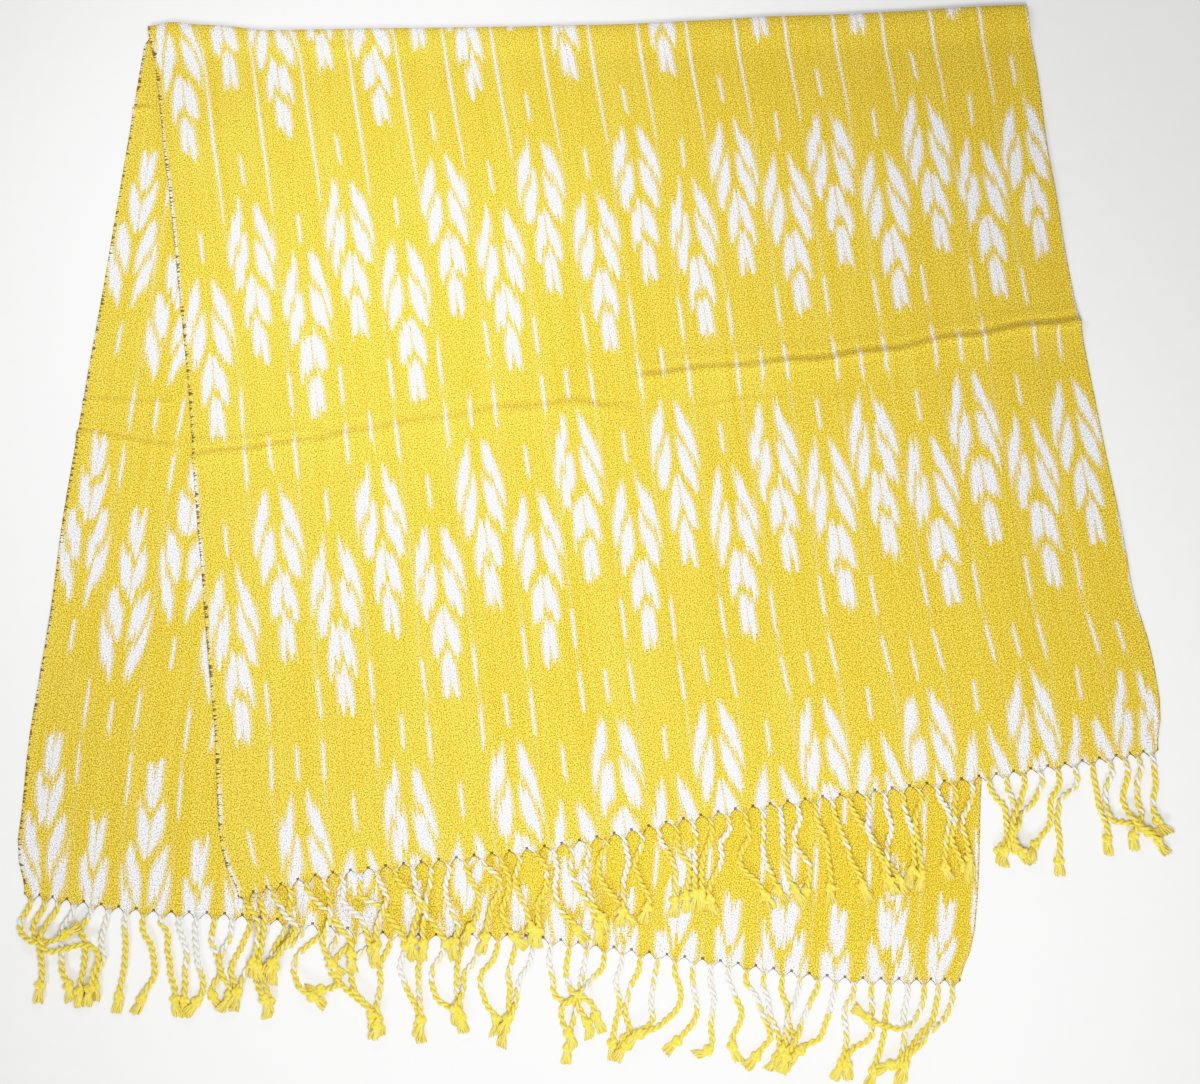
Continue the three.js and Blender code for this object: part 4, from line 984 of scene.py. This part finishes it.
def twisted_plies(layer, strand, cord, knot_at, paler, rng):
    """The two plies of a cord, down to its knot. Each keeps where its yarn is undyed, and the painted shade in
    its grooves and on its low side.
    """
    centres, _, side, up, travelled = cord
    root = (strand + 0.5) * ROOT_PITCH
    on_cord = travelled <= knot_at + 1.0
    s = travelled[on_cord]
    tight = 0.7 + 0.3 * eased(s / 10.0)
    patch_long, patch_at, patch_less = rng.uniform(5, 9), rng.uniform(0, 6.3), rng.uniform(0.8, 1.6)
    plies = []
    for ply in (0, 1):
        turn_angle = 2 * math.pi * s / TWIST_PITCH + ply * math.pi
        middle = centres[on_cord] + side[on_cord] * (PLY_OFFSET * np.cos(turn_angle))[:, None]
        middle = middle + up[on_cord] * (PLY_OFFSET * tight * np.sin(turn_angle))[:, None]
        points, faces = tube(middle, side[on_cord], up[on_cord], PLY_RADIUS * tight, PLY_SIDES)
        ply_across = root + (ply - 0.5) * rng.uniform(2.0, 5.0)
        ikat = warp_is_undyed(ply_across + 0 * s, cloth_place(layer, layer["length"] + s * 0.9))
        for _ in range(5):
            ikat[1:-1] = (ikat[:-2] + ikat[1:-1] + ikat[2:]) / 3
        patches = np.clip(1.6 * np.sin(s / patch_long + patch_at) - patch_less - rng.uniform(0, 0.2), 0, 1)
        share = np.maximum(ikat * rng.uniform(0.3, 1.0), patches) + paler
        share = eased((share - 0.3) / 0.3) * (1 - eased((s - travelled[-1] * rng.uniform(0.25, 0.6)) / 14.0))
        # Painted shade: a point is darkened where it faces the other ply or is low down on the cord.
        spoke = np.tile(np.arange(PLY_SIDES) * 2 * math.pi / PLY_SIDES, len(s))
        groove = np.cos(spoke - np.repeat(turn_angle, PLY_SIDES) - math.pi)
        high = np.repeat(PLY_OFFSET * tight * np.sin(turn_angle), PLY_SIDES) + PLY_RADIUS * np.sin(spoke)
        groove = np.maximum(groove, np.clip((1.0 - high) / 1.8, 0, 1))
        round_ply = np.tile(np.arange(PLY_SIDES) / PLY_SIDES, len(s)) + ply + strand * YARN_SHIFT
        yarn_places_and_shade = np.stack([round_ply, np.repeat(s, PLY_SIDES), groove], axis=1)
        plies.append((points, faces, np.repeat(share, PLY_SIDES), yarn_places_and_shade))
    return plies


def thumb_knot(strand, cord, knot_at, rng):
    """The thumb knot: one closed loop of cord wound over itself, with painted shade on its low side."""
    at = int(np.argmin(np.abs(cord[-1] - knot_at)))
    centre, ahead, side, up = [line[at] for line in cord[:4]]
    t = np.linspace(0, 2 * math.pi, KNOT_STEPS, endpoint=False)
    tilt = rng.uniform(0, 2 * math.pi)
    wound = [np.sin(t) + 2 * np.sin(2 * t), np.cos(t) - 2 * np.cos(2 * t), -1.1 * np.sin(3 * t)]
    first = wound[0] * math.cos(tilt) - wound[1] * math.sin(tilt)
    second = wound[0] * math.sin(tilt) + wound[1] * math.cos(tilt)
    line = centre + (side * first[:, None] + ahead * second[:, None] + up * wound[2][:, None]) * KNOT_SIZE
    forward = np.roll(line, -1, axis=0) - np.roll(line, 1, axis=0)
    forward /= np.linalg.norm(forward, axis=1, keepdims=True)
    beside = np.cross(forward, (0.0, 0.0, 1.0))
    beside /= np.linalg.norm(beside, axis=1, keepdims=True)
    half = np.full(KNOT_STEPS, KNOT_RADIUS)
    points, faces = tube(line, beside, np.cross(beside, forward), half, PLY_SIDES, closed=True)
    # Painted shade: the knot's low side is darker.
    low = np.clip((1.2 - points[:, 2] + centre[2]) / 3.0, 0, 1)
    round_cord = np.tile(np.arange(PLY_SIDES) / PLY_SIDES, KNOT_STEPS) + strand * YARN_SHIFT
    return points, faces, 0.0, np.stack([round_cord, np.repeat(t * 4, PLY_SIDES), low], axis=1)


def brushed_end(strand, cord, knot_at, rng):
    """The brushed end: bundles of yarn side by side, cut off blunt, the lower ones with painted shade."""
    centres, _, sides, ups, travelled = cord
    at = int(np.argmin(np.abs(travelled - knot_at)))
    steps = np.linspace(0, 1, len(TUFT_HALVES))
    side = np.broadcast_to(sides[at], (len(steps), 3))
    up = np.broadcast_to(ups[at], (len(steps), 3))
    bundles = []
    for bundle in range(TUFT_BUNDLES):
        spread = (bundle + 0.5) / TUFT_BUNDLES * 2 - 1 + rng.uniform(-0.1, 0.1)
        lift = rng.uniform(-1, 1) * math.sqrt(max(0.0, 1 - spread**2))
        s = knot_at + 1.0 + steps * (travelled[-1] - knot_at - 1.0) * rng.uniform(0.88, 1.0)
        stem = np.stack([np.interp(s, travelled, centres[:, k]) for k in range(3)], axis=1)
        stem = stem + side * (spread * (1.4 + 2.7 * eased(steps * 1.3)))[:, None]
        stem = stem + up * (lift * (0.9 + 0.8 * steps) - 0.5 * steps)[:, None]
        stem = stem + side * (0.35 * np.sin(steps * 7 + rng.uniform(0, 6)))[:, None]
        points, faces = tube(stem, side, up, TUFT_HALVES, TUFT_SIDES)
        round_bundle = np.tile(np.arange(TUFT_SIDES) / TUFT_SIDES, len(steps)) + bundle + strand * YARN_SHIFT
        # Painted shade: the lower bundles are darker.
        low = np.full(len(points), np.clip(0.6 - lift, 0, 1))
        yarn_places_and_shade = np.stack([round_bundle, np.repeat(steps * 10, TUFT_SIDES), low], axis=1)
        bundles.append((points, faces, 0.12 * rng.uniform(), yarn_places_and_shade))
    return bundles


def build_fringe(name, layer, cords, pale, seed):
    """All cords of one hem as one mesh, each lying on the surface and on the cords under it."""
    rng = np.random.default_rng(seed)
    pile = np.zeros(PILE_SHAPE)
    parts = []
    for strand in [i for i in range(STRANDS) if i not in LAID_LAST] + list(LAID_LAST):
        x, y, travelled = cord_plan(layer, (strand + 0.5) * ROOT_PITCH, cords[strand], rng)
        z = fringe_surface(layer, x, y) + CORD_MIDDLE + lay_on_pile(pile, x, y, travelled)
        root_z = rest_height(layer, x[:1], y[:1]) + ROOT_RISE
        z = z + (root_z - z) * (1 - eased(travelled / ROOT_REACH))
        centres = np.stack([x, y, z], axis=1)
        cord = (centres, *frames_along(centres), travelled)
        knot_at = travelled[-1] - TUFT_LENGTH - KNOT_ABOVE
        parts += twisted_plies(layer, strand, cord, knot_at, pale.get(strand, 0.0), rng)
        parts.append(thumb_knot(strand, cord, knot_at, rng))
        parts += brushed_end(strand, cord, knot_at, rng)
    faces, total = [], 0
    for points, part_faces, _, _ in parts:
        faces += [[i + total for i in face] for face in part_faces]
        total += len(points)
    undyed = np.concatenate([np.broadcast_to(share, len(points)) for points, _, share, _ in parts])
    yarn_places_and_shade = np.vstack([yarn_place_and_shade for _, _, _, yarn_place_and_shade in parts])
    attributes = {"undyed": ("FLOAT", undyed), "cord_mm_and_shade": ("FLOAT_VECTOR", yarn_places_and_shade)}
    return add_piece(name, np.vstack([points for points, _, _, _ in parts]), faces, attributes)


fringe_under = build_fringe("under_hem_fringe", UNDER, UNDER_CORDS, UNDER_PALE, 11)
fringe_over = build_fringe("over_hem_fringe", OVER, OVER_CORDS, OVER_PALE, 23)

# Two-ply cotton cord: matt and soft, with painted shade in the grooves between its plies, on the low sides of
# its plies and knot, and on its lower brushed bundles.
# Its yarns are under 1 mm thick, too fine to show, so they are drawn as streaks 1.7 mm wide and 2.5 mm long.
YARN_ROUND, YARN_LONG = 5.0, 2.5  # noise cells round a ply, and a cell's length in millimetres
# how much the painted shade darkens the grooves and low sides
GROOVE_PAINTED_SHADE = -0.35
cord_cotton, tree = new_material("twisted_cotton_cord")
undyed = add_node(tree, "ShaderNodeAttribute", {"attribute_name": "undyed"}).outputs["Fac"]
place = add_node(tree, "ShaderNodeAttribute", {"attribute_name": "cord_mm_and_shade"}).outputs["Vector"]
# The third value of each place is its painted shade.
groove = add_node(tree, "ShaderNodeSeparateXYZ", inputs={0: place}).outputs[2]
yarn_scale = (YARN_ROUND, 1 / YARN_LONG, 1.0)
cells = add_node(tree, "ShaderNodeMapping", inputs={"Vector": place, "Scale": yarn_scale})
yarn = add_node(
    tree, "ShaderNodeTexNoise", {"noise_dimensions": "2D"}, {"Vector": cells.outputs[0], "Scale": 1.0}
).outputs[0]
found = {"undyed": undyed, "groove": groove, "yarn": yarn}
for name, operation, *using in (
    ("mixed", "MULTIPLY_ADD", "yarn", 0.7, "undyed"),
    ("white", "SUBTRACT", "mixed", 0.35),
    ("yarn_tone", "MULTIPLY_ADD", "yarn", 0.4, 0.88),
    # painted shade in the grooves, on the low sides and on the lower bundles
    ("in_groove", "MAXIMUM", "groove", 0.0),
    ("tone", "MULTIPLY_ADD", "in_groove", GROOVE_PAINTED_SHADE, "yarn_tone"),
):
    sockets = {i: found[part] if isinstance(part, str) else part for i, part in enumerate(using)}
    found[name] = add_node(tree, "ShaderNodeMath", {"operation": operation}, sockets).outputs[0]
mixed = add_node(
    tree,
    "ShaderNodeMix",
    {"data_type": "RGBA"},
    {0: found["white"], MIX_FROM: linear(CORD_YELLOW), MIX_TO: linear(CORD_UNDYED)},
)
toned = add_node(
    tree, "ShaderNodeVectorMath", {"operation": "SCALE"}, {0: mixed.outputs[MIX_OUT], "Scale": found["tone"]}
)
yarn_bump = add_node(tree, "ShaderNodeBump", inputs={"Height": yarn, "Strength": 0.6, "Distance": 0.4 * MM})
shader = add_node(
    tree,
    "ShaderNodeBsdfPrincipled",
    inputs={
        "Base Color": toned.outputs[0],
        "Normal": yarn_bump.outputs[0],
        "Roughness": 0.85,
        "Specular IOR Level": 0.25,
        "Sheen Weight": 0.15,
        "Sheen Roughness": 0.5,
    },
)
add_node(tree, "ShaderNodeOutputMaterial", inputs={"Surface": shader.outputs[0]})
for piece, node in ((fringe_under, "fringe_under"), (fringe_over, "fringe_over")):
    piece.data.materials.append(cord_cotton)
    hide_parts(node)
    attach(piece, "root")


# ==== The floor, the light and the camera ====
# A plain pale floor of smooth plaster, two small round lamps, a low window and an even sky, as in
# a bright room. The camera looks down on the scarf, tilted a little towards its fold.

CAMERA_AT = (0.00964, -0.16986, 1.02051)
CAMERA_TILT, CAMERA_ROLL = 0.14492, -0.02025
FLOOR_PALE = "#FEFEFD"
FLOOR_HALF, FLOOR_DROP = 3.0, 0.0003  # in metres, as are all the places here
floor_mesh = bpy.data.meshes.new("pale_floor")
floor_corners = ((-1, -1), (1, -1), (1, 1), (-1, 1))
floor_points = [(FLOOR_HALF * x, FLOOR_HALF * y, -FLOOR_DROP) for x, y in floor_corners]
floor_mesh.from_pydata(floor_points, [], [(0, 1, 2, 3)])
floor = bpy.data.objects.new("pale_floor", floor_mesh)
bpy.context.scene.collection.objects.link(floor)
plaster, tree = new_material("smooth_pale_plaster")
where = add_node(tree, "ShaderNodeNewGeometry").outputs["Position"]
mottle = add_node(tree, "ShaderNodeTexNoise", inputs={"Vector": where, "Scale": 60.0}).outputs[0]
tone = add_node(tree, "ShaderNodeMath", {"operation": "MULTIPLY_ADD"}, {0: mottle, 1: 0.05, 2: 0.975})
pale_inputs = {0: linear(FLOOR_PALE)[:3], "Scale": tone.outputs[0]}
pale = add_node(tree, "ShaderNodeVectorMath", {"operation": "SCALE"}, pale_inputs)
shader = add_node(
    tree,
    "ShaderNodeBsdfPrincipled",
    inputs={"Base Color": pale.outputs[0], "Roughness": 0.9, "Specular IOR Level": 0.2},
)
add_node(tree, "ShaderNodeOutputMaterial", inputs={"Surface": shader.outputs[0]})
floor.data.materials.append(plaster)

world = bpy.data.worlds.new("even_sky")
world.use_nodes = True
sky = world.node_tree.nodes["Background"].inputs
sky["Color"].default_value = (1.0, 1.0, 1.0, 1.0)
sky["Strength"].default_value = 0.18
bpy.context.scene.world = world

# Each light's place, what it is turned towards, its energy, and its size.
LAMP = {"shape": "DISK", "size": 0.25}
WINDOW = {"angle": math.radians(12)}
for name, kind, place, aim, energy, settings in (
    ("soft_back_left", "AREA", (-0.18, 0.24, 0.45), (-0.18, 0.24, 0.0), 0.75, LAMP),
    ("soft_front", "AREA", (0.06, -0.36, 0.7), (0.06, -0.28, 0.0), 1.85, LAMP),
    ("low_front_window", "SUN", (-0.4, -2.0, 1.3), (0.0, 0.0, 0.0), 0.6, WINDOW),
):
    light = bpy.data.lights.new(name, kind)
    light.energy = energy
    for label, value in settings.items():
        setattr(light, label, value)
    lamp = bpy.data.objects.new(name, light)
    bpy.context.scene.collection.objects.link(lamp)
    lamp.visible_camera = False
    lamp.location = place
    lamp.rotation_euler = (Vector(aim) - Vector(place)).to_track_quat("-Z", "Y").to_euler()

camera_data = bpy.data.cameras.new("camera")
camera_data.lens = 37.5
camera_data.sensor_width = 36.0
camera = bpy.data.objects.new("camera", camera_data)
bpy.context.scene.collection.objects.link(camera)
camera.matrix_world = (
    Matrix.Translation(CAMERA_AT)
    @ Matrix.Rotation(CAMERA_TILT, 4, "X")
    @ Matrix.Rotation(CAMERA_ROLL, 4, "Z")
)
bpy.context.scene.camera = camera
# Shown with a soft shoulder in place of a hard clip: the light is set at half strength, the curve
# rolls off its brightest half, and the exposure doubles what is left.
SHOULDER = [
    (0.35, 0.35), (0.4, 0.384), (0.45, 0.418), (0.5, 0.446), (0.55, 0.465), (0.65, 0.484), (0.8, 0.495),
]
view = bpy.context.scene.view_settings
view.view_transform = "Standard"
view.exposure = 1.0
view.use_curve_mapping = True
shoulder = view.curve_mapping.curves[3]  # the curve for all three colours
shoulder.points[-1].location = (1.0, 0.5)
for light_in, light_out in SHOULDER:
    shoulder.points.new(light_in, light_out)
view.curve_mapping.update()
